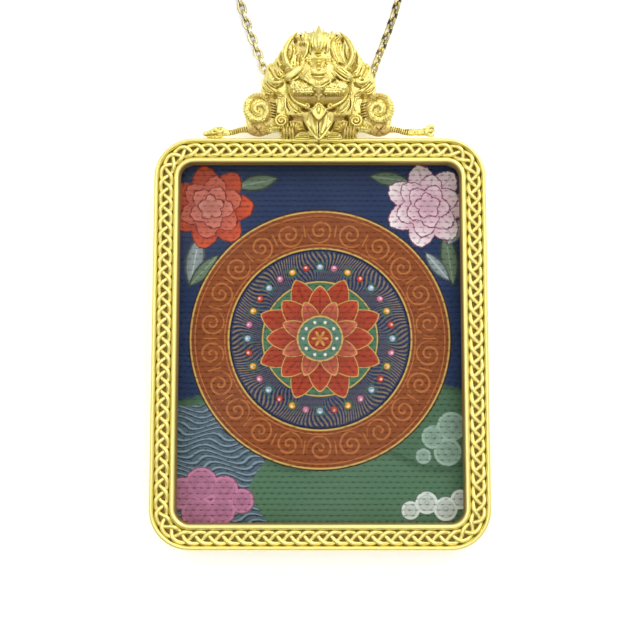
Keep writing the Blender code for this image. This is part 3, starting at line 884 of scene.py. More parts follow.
def tubes(lines, sides=8, smooth=0, cyclic=False):
    """Round tapering tubes as one mesh. A point is x, y, z and radius; smooth adds steps between them."""
    curve = bpy.data.curves.new("tubes", "CURVE")
    curve.dimensions = "3D"
    curve.bevel_depth = 1.0
    curve.bevel_resolution = (sides - 4) // 2
    curve.use_fill_caps = not cyclic
    curve.resolution_u = max(smooth, 1)
    for line in lines:
        spline = curve.splines.new("BEZIER" if smooth else "POLY")
        knots = spline.bezier_points if smooth else spline.points
        knots.add(len(line) - 1)
        for knot, (x, y, z, radius) in zip(knots, line):
            knot.co = (x, y, z) if smooth else (x, y, z, 1.0)
            knot.radius = radius
            if smooth:
                knot.handle_left_type = knot.handle_right_type = "AUTO"
        spline.use_cyclic_u = cyclic
    select_only(add("tubes", curve))
    bpy.ops.object.convert(target="MESH")
    return bpy.context.object


def border_place(inset, share):
    """A place on the frame's border, that far in from its edge, and the way out from it."""
    halves = (FRAME_WIDTH / 2 - CORNER, FRAME_HEIGHT / 2 - CORNER)
    radius = CORNER - inset
    bend = radius * math.pi / 2
    lengths = (2 * halves[1], bend, 2 * halves[0], bend) * 2
    left = share * sum(lengths)
    piece = 0
    while left > lengths[piece] and piece < len(lengths) - 1:
        left -= lengths[piece]
        piece += 1
    across, along = halves if piece % 4 < 2 else halves[::-1]
    if piece % 2:
        angle = left / radius
        out = Vector((math.cos(angle), math.sin(angle), 0))
        place = Vector((across, along, 0)) + out * radius
    else:
        out = Vector((1, 0, 0))
        place = Vector((across + radius, left - along, 0))
    turn = Matrix.Rotation(piece // 2 * math.pi / 2, 3, "Z")
    return turn @ place + Vector((0, FRAME_MIDDLE, 0)), turn @ out


class PENDANT_OT_plait(bpy.types.Operator):
    """Plaits three strands round the frame, each over one neighbour and under the next"""

    bl_idname = "pendant.plait"
    bl_label = "Plait"

    def execute(self, context):
        radius = context.scene.pendant_sizes.strand / MM
        steps = PLAIT_WAVES * WAVE_POINTS
        strands = []
        for number in range(STRANDS):
            strand = []
            for step in range(steps):
                place, out = border_place((OUTER_RIM + CHANNEL_END) / 2, step / steps)
                turn = 2 * math.pi * (PLAIT_WAVES * step / steps + number / STRANDS)
                loop = (math.sin(turn) + PLAIT_LOOP * math.sin(3 * turn)) / (1 - PLAIT_LOOP)
                place += out * PLAIT_SWING * loop
                strand.append((place.x, place.y, PLAIT_HEIGHT + PLAIT_LIFT * math.sin(2 * turn), radius))
            strands.append(strand)
        plait = tubes(strands, cyclic=True)
        tidy_shell(plait, FINE_WELD)
        finish = gold_finish("plait_gold", True)
        finish_piece(plait, "plaited_band", finish, ["plait"], FINE_SMOOTH)
        return {"FINISHED"}


# ---------------------------------------------------------------- chain


def mirrored(points):
    """The same points on the other side of the middle."""
    return [(-point[0], *point[1:]) for point in points]


def even_steps(points, spacing):
    """Points evenly spaced along a line of points, as near to that spacing as fits."""
    reached = [0.0]
    for first, second in zip(points, points[1:]):
        reached.append(reached[-1] + (second - first).length)
    count = round(reached[-1] / spacing)
    placed = []
    at = 0
    for number in range(count + 1):
        wanted = reached[-1] * number / count
        while reached[at + 1] < wanted and at < len(points) - 2:
            at += 1
        share = (wanted - reached[at]) / (reached[at + 1] - reached[at])
        placed.append(points[at].lerp(points[at + 1], share))
    return placed


def smooth_route(points):
    """Fine points on the smooth curve through a route's own points."""
    ends = (points[0], *points, points[-1])
    fine = []
    for before, start, stop, after in zip(ends, ends[1:], ends[2:], ends[3:]):
        before, start, stop, after = map(Vector, (before, start, stop, after))
        for step in range(ROUTE_STEPS):
            t = step / ROUTE_STEPS
            linear_part = (stop - before) * t
            square_part = (2 * before - 5 * start + 4 * stop - after) * t**2
            cube_part = (3 * start - 3 * stop + after - before) * t**3
            fine.append(0.5 * (2 * start + linear_part + square_part + cube_part))
    fine.append(Vector(points[-1]))
    return fine


def coil_points():
    """The coil's turns: inwards along the floor from its left, up, and outwards again to its right."""
    low = CHAIN_WIDTH / 2 + COIL_CLEARANCE
    outer = COIL_INNER + (COIL_TURNS - 1) * CHAIN_WIDTH
    turns = 2 * COIL_TURNS - 0.5
    steps = int(turns * TURN_POINTS)
    points = []
    for step in range(steps + 1):
        turned = turns * step / steps
        inward = min(turned, turns - turned)
        radius = outer - CHAIN_WIDTH * inward * (COIL_TURNS - 1) / (turns / 2)
        rise = min(1.0, max(0.0, turned - turns / 2 + 0.5))
        angle = math.pi - 2 * math.pi * turned
        place = (radius * math.cos(angle), COIL_Y + radius * math.sin(angle), low + CHAIN_WIDTH * rise)
        points.append(Vector(place))
    return points


def chain_path(spacing):
    """The whole chain: from the tube by the left strand, the coil and the right strand, and back."""
    left = smooth_route(mirrored((*CHAIN_ROUTE, *CHAIN_TO_LOWER_TURN)))
    right = []
    for x, y, z in (*CHAIN_ROUTE, *CHAIN_TO_UPPER_TURN):
        right.append((x - CHAIN_RIGHT_SHIFT * (y > SHIFT_FROM_Y), y, z))
    right = smooth_route(right)
    return even_steps([*left, *coil_points(), *right[::-1]], spacing)


def make_link():
    """One oval link, lying flat with its length along X."""
    bpy.ops.object.select_all(action="DESELECT")
    bpy.ops.mesh.primitive_torus_add(
        major_segments=12,
        minor_segments=6,
        major_radius=(LINK_WIDTH - LINK_WIRE) / 2,
        minor_radius=LINK_WIRE / 2,
    )
    link = bpy.context.object
    for side in (-1, 1):
        edit(link, False)
        bpy.ops.mesh.select_mode(type="VERT")
        shape = bmesh.from_edit_mesh(link.data)
        for corner in shape.verts:
            corner.select_set(corner.co.x * side > 0.001)
        bmesh.update_edit_mesh(link.data)
        bpy.ops.transform.translate(value=(side * (LINK_LENGTH - LINK_WIDTH) / 2, 0, 0))
        done_editing()
    return link


class PENDANT_OT_chain(bpy.types.Operator):
    """Links the cable chain along its route: through the tube, up both sides and round the coil"""

    bl_idname = "pendant.chain"
    bl_label = "Chain"

    def execute(self, context):
        link = make_link()
        corners = [corner.co.copy() for corner in link.data.vertices]
        faces = [tuple(face.vertices) for face in link.data.polygons]
        bpy.data.objects.remove(link)
        stations = chain_path(LINK_LENGTH - 2 * LINK_WIRE)
        places = []
        sides = []
        for number, (start, stop) in enumerate(zip(stations, stations[1:])):
            ahead = (stop - start).normalized()
            across = Vector((0, 0, 1)).cross(ahead).normalized()
            turn = Matrix((ahead, across, ahead.cross(across))).transposed()
            roll = math.radians(LEFT_ROLL if start.x < 0 else RIGHT_ROLL) + number % 2 * math.pi / 2
            turn = turn @ Matrix.Rotation(roll, 3, "X")
            first = len(places)
            middle = (start + stop) / 2 + Vector((0, 0, (LINK_WIDTH - CHAIN_WIDTH) / 2))
            places.extend(turn @ corner + middle for corner in corners)
            sides.extend(tuple(first + index for index in face) for face in faces)
        mesh = bpy.data.meshes.new("cable_chain")
        mesh.from_pydata(places, [], sides)
        chain = add("cable_chain", mesh)
        nodes = ["chain_run", "chain_coil"]
        finish_piece(chain, "cable_chain", bronze_finish(), nodes, FINE_SMOOTH)
        path = [tuple(point * MM) for point in chain_path(0.5)]
        length = sum((Vector(b) - Vector(a)).length for a, b in zip(path, path[1:]))
        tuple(path[0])
        return {"FINISHED"}


# ---------------------------------------------------------------- crest


def camera_place():
    """Where the camera stands, in millimetres."""
    tilt = math.radians(CAMERA_TILT)
    return Vector(CAMERA_TARGET) + Vector((0, -math.sin(tilt), math.cos(tilt))) * CAMERA_DISTANCE


def in_sight(across, up, height):
    """A point of the crest's front view, put at that height along the line of sight through it."""
    eye = camera_place()
    drawn = Vector((across + CREST_ASIDE, TOP_EDGE + up * CREST_STRETCH, CREST_DRAWN))
    return eye + (drawn - eye) * (eye.z - height) / (eye.z - CREST_DRAWN)


def corner_arrays(mesh):
    """The places and the normals of a mesh's corners, as rows of three numbers."""
    count = len(mesh.vertices)
    places = numpy.zeros(count * 3)
    mesh.vertices.foreach_get("co", places)
    normals = numpy.zeros(count * 3, dtype=numpy.float32)
    mesh.vertices.foreach_get("normal", normals)
    return places.reshape(count, 3), normals.reshape(count, 3)


def mark_hollows(mesh, lines):
    """Stores how far each corner lies below the surface round it: about 1 in hollows, -1 on ridges."""
    places, normals = corner_arrays(mesh)
    count = len(places)
    ends = numpy.zeros(len(mesh.edges) * 2, dtype=numpy.int32)
    mesh.edges.foreach_get("vertices", ends)
    first, second = ends.reshape(-1, 2).T
    neighbours = numpy.maximum(numpy.bincount(ends, minlength=count), 1)
    smoothed = places.copy()
    hollow = numpy.zeros(count)
    done = 0
    for passes, depth, share in (FINE_HOLLOWS, BROAD_HOLLOWS):
        for _ in range(done, passes):
            for axis in range(3):
                reached = numpy.bincount(first, smoothed[second, axis], count)
                reached += numpy.bincount(second, smoothed[first, axis], count)
                smoothed[:, axis] = reached / neighbours
        done = passes
        hollow += share * numpy.clip(((smoothed - places) * normals).sum(axis=1) / depth, -1, 1)
    # The drawn lines and bands add their patina and painted shade on faces that don't turn away
    facing = normals[:, 2] > -0.2
    hollow = numpy.maximum(hollow, facing * line_depths(places, lines, 2))
    mesh.attributes.new("hollow", "FLOAT", "POINT").data.foreach_set("value", hollow)


def line_depths(places, lines, kind):
    """How deep the drawn lines are at each place: 1 for their depths, 2 for the patina and painted shade
    that they hold.
    """
    eye = camera_place()
    share = (eye.z - CREST_DRAWN) / (eye.z - places[:, 2])
    across = eye.x + (places[:, 0] - eye.x) * share - CREST_ASIDE
    up = (eye.y + (places[:, 1] - eye.y) * share - TOP_EDGE) / CREST_STRETCH
    sunk = numpy.zeros(len(places))
    for entry in lines:
        line, depth = entry[0], entry[kind]
        for (x0, u0, wide0), (x1, u1, wide1) in zip(line, line[1:]):
            run, rise = x1 - x0, u1 - u0
            along = ((across - x0) * run + (up - u0) * rise) / (run * run + rise * rise)
            along = numpy.clip(along, 0, 1)
            far = numpy.hypot(across - x0 - along * run, up - u0 - along * rise)
            wide = wide0 + (wide1 - wide0) * along
            sunk = numpy.maximum(sunk, depth * numpy.clip(GROOVE_SLOPE - far / wide, 0, 1))
    return sunk


def polar(centre, angle, reach, squash=1.0):
    """The place at that angle and reach from a centre, on a circle or on an oval squashed upwards."""
    return centre[0] + reach * math.cos(angle), centre[1] + squash * reach * math.sin(angle)


def engrave(mesh, lines):
    """Sinks the drawn lines into the front of a skin."""
    places, normals = corner_arrays(mesh)
    sunk = line_depths(places, lines, 1) * (normals[:, 2] > 0.05)
    lowest = numpy.minimum(places[:, 2], CREST_BACK + LEAST_WALL)
    places[:, 2] = numpy.maximum(places[:, 2] - sunk, lowest)
    mesh.vertices.foreach_set("co", places.ravel())
    mesh.update()


class Casting:
    """Gathers the wax forms of a casting, whose places are across, up the crest and height.

    A casting for the left-hand side is drawn as on the right, and has -1 for its side.
    """

    def __init__(self, side=1):
        self.side = side
        self.forms = []
        self.cuts = []

    def strokes(self, *lines, sides=10, smooth=5):
        """Tapering rounded strokes. A point is across, up, height and radius."""
        placed = []
        for line in lines:
            placed.append([(*in_sight(self.side * x, up, z), radius) for x, up, z, radius in line])
        self.forms.append(tubes(placed, sides, smooth))

    def pair(self, *lines, **settings):
        """Strokes on the right-hand side, and their mirror images."""
        self.strokes(*lines, *map(mirrored, lines), **settings)

    def lump(self, across, up, height, radii, turn=0.0):
        """An egg-shaped lump, turned in the plane of the crest by degrees."""
        bpy.ops.object.select_all(action="DESELECT")
        bpy.ops.mesh.primitive_uv_sphere_add(
            segments=32,
            ring_count=16,
            location=in_sight(self.side * across, up, height),
            rotation=(0, 0, math.radians(turn)),
            scale=radii,
        )
        self.forms.append(bpy.context.object)

    def lumps(self, across, up, height, radii, turn=0.0):
        """A lump on the right-hand side, and its mirror image."""
        self.lump(across, up, height, radii, turn)
        self.lump(-across, up, height, radii, -turn)

    def plate(self, outline, low, high, soften=0.15):
        """A flat plate of that outline, with softened edges."""
        mesh = bpy.data.meshes.new("plate")
        corners = [(*in_sight(x, up, high).xy, low) for x, up in outline]
        mesh.from_pydata(corners, [], [range(len(outline))])
        plate = add("plate", mesh)
        edit(plate)
        step_up(high - low)
        bpy.ops.mesh.bevel(offset=soften, segments=3, affect="EDGES")
        bpy.ops.mesh.select_all(action="SELECT")
        bpy.ops.mesh.normals_make_consistent(inside=False)
        done_editing()
        self.forms.append(plate)

    def whole_plate(self, half, low, high, soften=0.15):
        """A plate across the middle, whose outline's right-hand half is given."""
        self.plate([*half, *mirrored(point for point in reversed(half) if point[0])], low, high, soften)

    def plates(self, outline, low, high, soften=0.15):
        """A plate on the right-hand side, and its mirror image."""
        self.plate(outline, low, high, soften)
        self.plate(mirrored(reversed(outline)), low, high, soften)

    def cut(self, depth, *lines, shade_and_patina=1.1):
        """Grooves cut into the finished skin. A point is across, up and half the groove's width.

        The last setting is how brown a groove's floor is painted, patina and painted shade together: from
        1 it is as brown as a hollow gets.
        """
        for line in lines:
            self.cuts.append(([(self.side * x, *rest) for x, *rest in line], depth, shade_and_patina))

    def cuts_both(self, depth, *lines, shade_and_patina=1.1):
        """Grooves on the right-hand side, and their mirror images."""
        self.cut(depth, *lines, *map(mirrored, lines), shade_and_patina=shade_and_patina)

    def painted_shade_band(self, shade_and_patina, *lines):
        """Bands of painted shade that lie on the skin and cut nothing."""
        self.cut(0.0, *lines, shade_and_patina=shade_and_patina)

    def painted_shade_bands_both(self, shade_and_patina, *lines):
        """Bands of painted shade on the right-hand side, and their mirror images."""
        self.cuts_both(0.0, *lines, shade_and_patina=shade_and_patina)

    def fuse(self, triangles):
        """Fuses the forms into one skin, cuts its back flat and keeps it within that many triangles."""
        casting = join(self.forms)
        bpy.ops.object.transform_apply(location=True, rotation=True, scale=True)
        grain = bpy.context.scene.pendant_sizes.grain / MM
        modify(casting, "REMESH", mode="VOXEL", voxel_size=grain)
        edit(casting)
        bpy.ops.mesh.bisect(
            plane_co=(0, 0, CREST_BACK), plane_no=(0, 0, 1), use_fill=True, clear_inner=True
        )
        done_editing()
        engrave(casting.data, self.cuts)
        modify(casting, "SMOOTH", factor=0.4, iterations=1)
        count = sum(len(face.vertices) - 2 for face in casting.data.polygons)
        modify(casting, "DECIMATE", ratio=min(1.0, triangles / count))
        tidy_shell(casting, FINE_WELD)
        mark_hollows(casting.data, self.cuts)
        return casting


def shape_backing(cast):
    """The plate that carries the mask, and the rounded skull on it."""
    half = (
        (0.7, 16.3), (2.9, 16.1), (3.7, 15.2), (4.6, 14.3), (5.5, 12.9), (6.0, 11.6), (7.5, 11.65),
        (7.8, 11.2), (7.85, 10.2), (8.1, 9.2), (8.4, 8.3), (8.7, 7.4), (8.4, 6.9), (6.7, 6.3),
        (6.3, 4.2), (6.3, 2.4), (5.8, 0.45), (1.5, 0.45),
    )
    cast.whole_plate(half, CREST_BACK - 0.6, 5.2)
    cast.lump(0, 9.6, 5.2, (4.9, 2.7, 1.85))
    cast.lump(0, 7.4, 5.2, (4.7, 2.2, 1.8))
    cast.lump(0, 13.4, 5.0, (4.0, 3.2, 0.85))
    cast.lump(0, 6.1, 5.2, (4.1, 1.2, 1.7))
    cast.lumps(5.5, 8.0, 5.0, (1.3, 2.4, 1.0))
    cast.lumps(4.3, 5.1, 5.0, (2.0, 2.0, 0.9))
    cast.lumps(5.9, 11.3, 4.9, (0.9, 1.3, 0.8), -20)


def shape_jewel(cast):
    """The flaming jewel over the forehead, the flames beside it and the rosettes below it."""
    cast.strokes(
        [(0, 13.25, 6.1, 0.3), (0, 13.9, 6.3, 0.72), (0, 14.8, 6.3, 0.95), (0, 15.6, 6.15, 0.86),
         (0, 16.3, 5.9, 0.58), (0.02, 16.9, 5.7, 0.32), (0.03, 17.35, 5.6, 0.12)],
        [(0.02, 16.9, 6.0, 0.07), (0.0, 16.1, 6.65, 0.13), (0.0, 15.2, 7.15, 0.17),
         (0.0, 14.3, 7.1, 0.17), (0.0, 13.7, 6.9, 0.08)],
        [(0.05, 16.8, 6.0, 0.06), (-0.38, 16.0, 6.6, 0.13), (-0.62, 15.2, 6.9, 0.16),
         (-0.6, 14.4, 6.9, 0.15), (-0.25, 13.6, 6.7, 0.09)],
        [(0.05, 16.8, 6.0, 0.06), (0.4, 16.0, 6.6, 0.13), (0.66, 15.2, 6.9, 0.16),
         (0.62, 14.4, 6.9, 0.15), (0.25, 13.6, 6.7, 0.09)],
        [(-0.75, 16.6, 5.8, 0.07), (-0.9, 15.8, 6.3, 0.16), (-1.05, 14.9, 6.4, 0.18),
         (-0.85, 14.0, 6.4, 0.12)],
        [(0.8, 16.6, 5.8, 0.07), (0.95, 15.8, 6.3, 0.16), (1.1, 14.9, 6.4, 0.18), (0.9, 14.0, 6.4, 0.12)],
    )
    cast.pair(
        [(1.3, 13.3, 5.9, 0.16), (1.32, 14.4, 6.0, 0.2), (1.15, 15.4, 5.8, 0.2), (1.3, 16.35, 5.3, 0.07)],
        [(1.65, 13.6, 5.8, 0.14), (1.62, 14.7, 5.9, 0.18), (1.5, 15.6, 5.7, 0.2),
         (1.95, 16.5, 5.2, 0.07)],
        [(2.1, 15.1, 5.7, 0.1), (2.0, 15.8, 5.6, 0.2), (2.15, 16.6, 5.2, 0.1)],
        [(2.5, 15.1, 5.6, 0.1), (2.5, 15.7, 5.5, 0.2), (2.75, 16.4, 5.2, 0.1)],
        [(0.55, 16.0, 5.6, 0.2), (0.75, 16.7, 5.4, 0.14), (0.7, 17.0, 5.2, 0.06)],
    )
    cast.lumps(2.2, 15.3, 5.1, (0.8, 0.9, 0.5))
    cast.lump(0, 12.75, 6.6, (0.42, 0.17, 0.42))
    cast.lump(0, 12.3, 6.9, (0.75, 0.17, 0.4))
    cast.lump(0, 11.85, 7.0, (0.58, 0.19, 0.42))
    cast.lump(0, 11.4, 7.1, (0.36, 0.2, 0.4))
    rosette = (1.5, 12.2)
    for turn in range(0, 360, 72):
        cast.lumps(*polar(rosette, math.radians(turn + 20), 0.36), 6.5, (0.19, 0.19, 0.28))
    cast.lumps(*rosette, 6.65, (0.17, 0.17, 0.26))
    cast.lumps(2.45, 11.55, 6.5, (0.5, 0.42, 0.42), 20)
    cast.lumps(1.05, 11.3, 7.0, (0.2, 0.3, 0.3), -15)


def shape_hair(cast):
    """Wavy strands between jewel and horns: full on the right, and short over a hollow on the left."""
    for strand in range(5):
        aside = 0.34 * strand
        lock = [
            (2.65 + 0.16 * strand, 16.05 - 0.17 * strand, 5.35, 0.06),
            (2.05 + aside, 14.85 - 0.04 * strand, 5.9, 0.13),
            (1.98 + aside, 13.7, 6.1, 0.14),
            (2.3 + aside, 12.7, 6.25, 0.14),
            (2.75 + aside, 11.75 - 0.05 * strand, 6.45, 0.1),
        ]
        cast.strokes(lock)
        if strand < 4:
            cast.strokes(mirrored([lock[0], lock[1], (1.95 + aside, 14.1, 5.7, 0.06)]))
    cast.strokes(
        [(-1.85, 15.6, 5.6, 0.1), (-1.75, 14.4, 6.0, 0.17), (-1.85, 13.3, 6.2, 0.18),
         (-2.2, 12.5, 6.3, 0.16), (-2.7, 12.0, 6.3, 0.07)],
    )
    for ridge in range(4):
        across = -2.75 - 0.45 * ridge
        top = 13.3 - 0.3 * ridge
        cast.strokes(
            [(across + 0.3, top, 6.0, 0.07), (across + 0.1, 12.3, 6.25, 0.15), (across, 11.8, 6.35, 0.17),
             (across, 11.2, 6.5, 0.16)],
        )
    cast.strokes(
        [(-4.15, 11.6, 6.3, 0.08), (-3.5, 12.85, 6.2, 0.12), (-2.75, 13.45, 6.15, 0.13),
         (-2.05, 13.6, 6.1, 0.07)],
    )
    cast.cut(0.3, [(-2.55, 13.1, 0.04), (-2.62, 12.0, 0.06)], [(-3.0, 12.9, 0.04), (-3.1, 11.9, 0.06)])


def shape_horns(cast):
    """Crescent horns that curl up round leaf-shaped ears, with a blade behind each."""
    cast.pair(
        [(4.15, 10.95, 6.6, 0.3), (4.85, 11.7, 6.7, 0.43), (5.25, 12.8, 6.7, 0.45),
         (5.05, 13.95, 6.5, 0.43), (4.5, 14.95, 6.2, 0.38), (3.8, 15.75, 5.8, 0.28),
         (3.2, 16.45, 5.5, 0.12)],
        [(5.3, 11.7, 6.8, 0.06), (5.62, 12.8, 6.95, 0.09), (5.42, 14.0, 6.8, 0.09),
         (4.8, 15.15, 6.5, 0.08), (4.0, 16.0, 6.0, 0.05)],
        [(4.1, 11.4, 6.5, 0.08), (4.65, 12.1, 6.75, 0.12), (4.88, 13.0, 6.75, 0.13),
         (4.65, 14.1, 6.55, 0.13), (4.05, 15.1, 6.2, 0.11), (3.4, 15.95, 5.6, 0.05)],
        [(5.75, 11.1, 5.8, 0.28), (6.1, 12.0, 5.6, 0.26), (5.95, 12.9, 5.3, 0.2),
         (5.65, 13.6, 5.1, 0.12)],
        [(6.05, 11.0, 5.8, 0.14), (6.5, 11.5, 5.5, 0.16), (6.4, 12.1, 5.2, 0.12)],
        [(4.3, 11.8, 6.1, 0.06), (3.88, 12.7, 6.2, 0.1), (3.72, 13.7, 6.1, 0.1), (3.9, 14.6, 5.85, 0.04)],
    )
    cast.lumps(4.32, 13.3, 6.1, (0.36, 1.2, 0.5), 8)
    cast.lumps(3.35, 15.35, 4.9, (0.45, 0.85, 0.4), 35)
    cast.lumps(5.65, 12.6, 4.9, (0.45, 0.9, 0.4), 20)


def shape_brows(cast):
    """Ribbed lids that sweep down over the eyes, and the pointed striped plate between them."""
    cast.lumps(3.7, 10.1, 6.45, (1.75, 0.85, 0.8), -36)
    for bead in range(26):
        across = 1.9 + 1.9 * (bead * 0.618 % 1)
        cast.lumps(
            across, 11.0 + 1.7 * (bead * 0.377 % 1) - 0.15 * across, 5.95, (0.2, 0.17, 0.35), 50 * bead,
        )
    cast.pair(
        [(1.95, 10.95, 7.2, 0.07), (2.55, 10.15, 7.5, 0.15), (3.3, 9.42, 7.35, 0.17),
         (4.05, 8.98, 7.0, 0.15), (4.7, 8.8, 6.6, 0.07)],
        [(2.4, 11.15, 7.0, 0.07), (2.95, 10.45, 7.3, 0.14), (3.65, 9.8, 7.15, 0.16),
         (4.35, 9.35, 6.8, 0.13), (4.95, 9.15, 6.4, 0.06)],
        [(2.95, 11.2, 6.8, 0.07), (3.4, 10.7, 7.1, 0.14), (4.05, 10.15, 6.9, 0.15),
         (4.65, 9.75, 6.6, 0.12), (5.1, 9.55, 6.3, 0.05)],
        [(3.5, 11.2, 6.6, 0.06), (3.9, 10.9, 6.8, 0.12), (4.45, 10.5, 6.6, 0.13),
         (4.95, 10.1, 6.3, 0.06)],
        [(3.85, 11.4, 6.5, 0.08), (4.45, 11.0, 6.7, 0.15), (5.15, 10.55, 6.4, 0.1)],
    )
    half = ((0.0, 7.95), (1.2, 8.45), (2.25, 9.25), (2.0, 9.9), (1.5, 10.6), (0.0, 10.9))
    cast.whole_plate(half, 6.2, 7.85, 0.1)
    cast.pair(
        [(2.35, 9.2, 7.6, 0.07), (1.3, 8.5, 8.1, 0.15), (0.55, 8.02, 8.35, 0.16), (0.0, 7.87, 8.4, 0.16)],
        [(2.2, 9.75, 7.7, 0.06), (1.75, 9.35, 7.95, 0.11), (1.35, 9.0, 8.05, 0.06)],
        [(1.95, 10.15, 7.6, 0.06), (1.6, 9.8, 7.9, 0.11), (1.2, 9.4, 8.05, 0.06)],
        [(1.75, 10.6, 7.5, 0.06), (1.45, 10.25, 7.85, 0.11), (1.2, 9.85, 8.0, 0.06)],
    )
    stripes = 6
    for stripe in range(stripes):
        across = 0.25 * (stripe - (stripes - 1) / 2)
        foot = 8.25 + 0.45 * abs(across)
        cast.strokes(
            [(across, 9.2, 8.0, 0.06), (across, foot + 0.4, 8.2, 0.085), (across, foot, 8.25, 0.07)],
        )
    cast.strokes(
        [(-1.25, 10.9, 7.5, 0.08), (-1.05, 10.35, 7.95, 0.15), (-0.45, 10.06, 8.25, 0.17),
         (0.45, 10.06, 8.25, 0.17), (1.05, 10.35, 7.95, 0.15), (1.25, 10.9, 7.5, 0.08)],
        [(-1.05, 9.6, 7.9, 0.08), (-0.4, 9.52, 8.2, 0.15), (0.4, 9.52, 8.2, 0.15),
         (1.05, 9.6, 7.9, 0.08)],
    )
    cast.lump(0, 10.65, 7.8, (0.34, 0.27, 0.42))
    cast.lumps(0.55, 10.75, 7.6, (0.2, 0.2, 0.35))


def shape_cheeks(cast):
    """Knobbly tufts over the cheeks, with a fringe of locks below them."""
    cast.lumps(2.6, 7.95, 6.7, (1.95, 0.85, 0.8), -8)
    for row in range(6):
        for knob in range(8):
            across = 0.95 + 0.44 * knob + 0.22 * (row % 2)
            up = 7.14 + 0.33 * row
            ceiling = min(7.72 + 0.52 * across, 10.4 - 0.36 * across)
            if up > ceiling or across > 4.4 or up < 6.9 + 0.1 * (across - 1.2) ** 2:
                continue
            height = 7.8 - 0.045 * across**2 - 0.25 * max(0.0, 7.6 - up)
            wide = 0.25 + 0.04 * math.sin(knob * 2.4 + row)
            cast.lumps(across, up, height, (wide, 0.17, 0.24), 35 * math.sin(knob * 1.7 + row * 2.1))
    for lock in range(LOCKS):
        across = 1.15 + LOCK_GAP * lock
        height = 7.65 - 0.05 * (lock * 0.7) ** 1.5
        foot = 6.7 + 0.012 * (lock - 1.5) ** 2 + 0.16 * (lock % 2)
        cast.pair(
            [(across - 0.06, 7.5, height - 0.15, 0.12), (across, 7.15, height - 0.02, 0.16),
             (across + 0.03, foot, height - 0.15, 0.09)],
        )
    cast.lump(0, 7.5, 7.2, (1.0, 0.35, 0.6))
    cast.strokes([(0, 7.6, 7.2, 0.7), (0, 6.95, 7.15, 0.45), (0, 6.3, 7.1, 0.3), (0, 5.75, 7.1, 0.15)])
    cast.lump(0, 6.98, 7.45, (0.26, 0.2, 0.32))
    cast.lumps(0.42, 6.7, 7.15, (0.3, 0.22, 0.32), 20)
    cast.pair([(1.0, 6.32, 6.9, 0.06), (1.35, 6.12, 7.1, 0.13), (1.75, 6.3, 6.9, 0.06)])


def shape_jaw(cast):
    """The ribbons that follow the jaw to small curls, the leaves outside them and the side panels."""
    cast.pair(
        [(4.4, 7.1, 6.4, 0.07), (3.98, 6.2, 6.9, 0.15), (3.25, 5.55, 7.1, 0.19), (2.45, 5.18, 7.2, 0.22),
         (1.85, 4.95, 7.2, 0.16)],
        [(2.0, 5.35, 7.2, 0.1), (1.6, 5.3, 7.25, 0.11), (1.45, 5.0, 7.25, 0.11), (1.7, 4.75, 7.2, 0.11),
         (2.05, 4.8, 7.15, 0.1)],
        [(4.8, 6.6, 6.3, 0.07), (4.5, 5.2, 6.7, 0.12), (3.7, 4.3, 6.9, 0.14), (2.75, 3.9, 6.9, 0.1)],
        [(4.35, 6.2, 6.6, 0.05), (3.9, 5.3, 6.95, 0.09), (3.3, 4.6, 6.95, 0.05)],
        [(2.7, 4.25, 6.8, 0.13), (2.45, 3.95, 6.9, 0.15), (2.75, 3.7, 6.8, 0.09)],
        [(3.35, 4.0, 6.8, 0.13), (3.15, 3.7, 6.9, 0.14), (3.4, 3.5, 6.7, 0.08)],
        [(4.95, 7.3, 6.2, 0.1), (5.05, 6.0, 6.5, 0.13), (5.0, 4.7, 6.6, 0.13), (4.6, 3.95, 6.6, 0.1)],
        [(6.1, 6.2, 5.9, 0.08), (6.2, 5.0, 6.0, 0.12), (6.25, 3.95, 6.1, 0.1)],
        [(5.9, 6.6, 6.0, 0.08), (5.55, 5.9, 6.25, 0.14), (5.4, 5.1, 6.3, 0.15), (5.65, 4.3, 6.2, 0.1)],
        [(6.2, 6.1, 5.9, 0.08), (5.95, 5.3, 6.1, 0.13), (5.95, 4.6, 6.1, 0.12), (6.2, 4.1, 6.0, 0.08)],
    )
    cast.lumps(3.8, 5.25, 6.1, (0.55, 1.35, 0.55), -34)
    cast.plates([(4.95, 6.9), (5.9, 6.5), (6.35, 5.2), (6.4, 4.0), (5.0, 3.8)], 4.6, 6.15, 0.3)


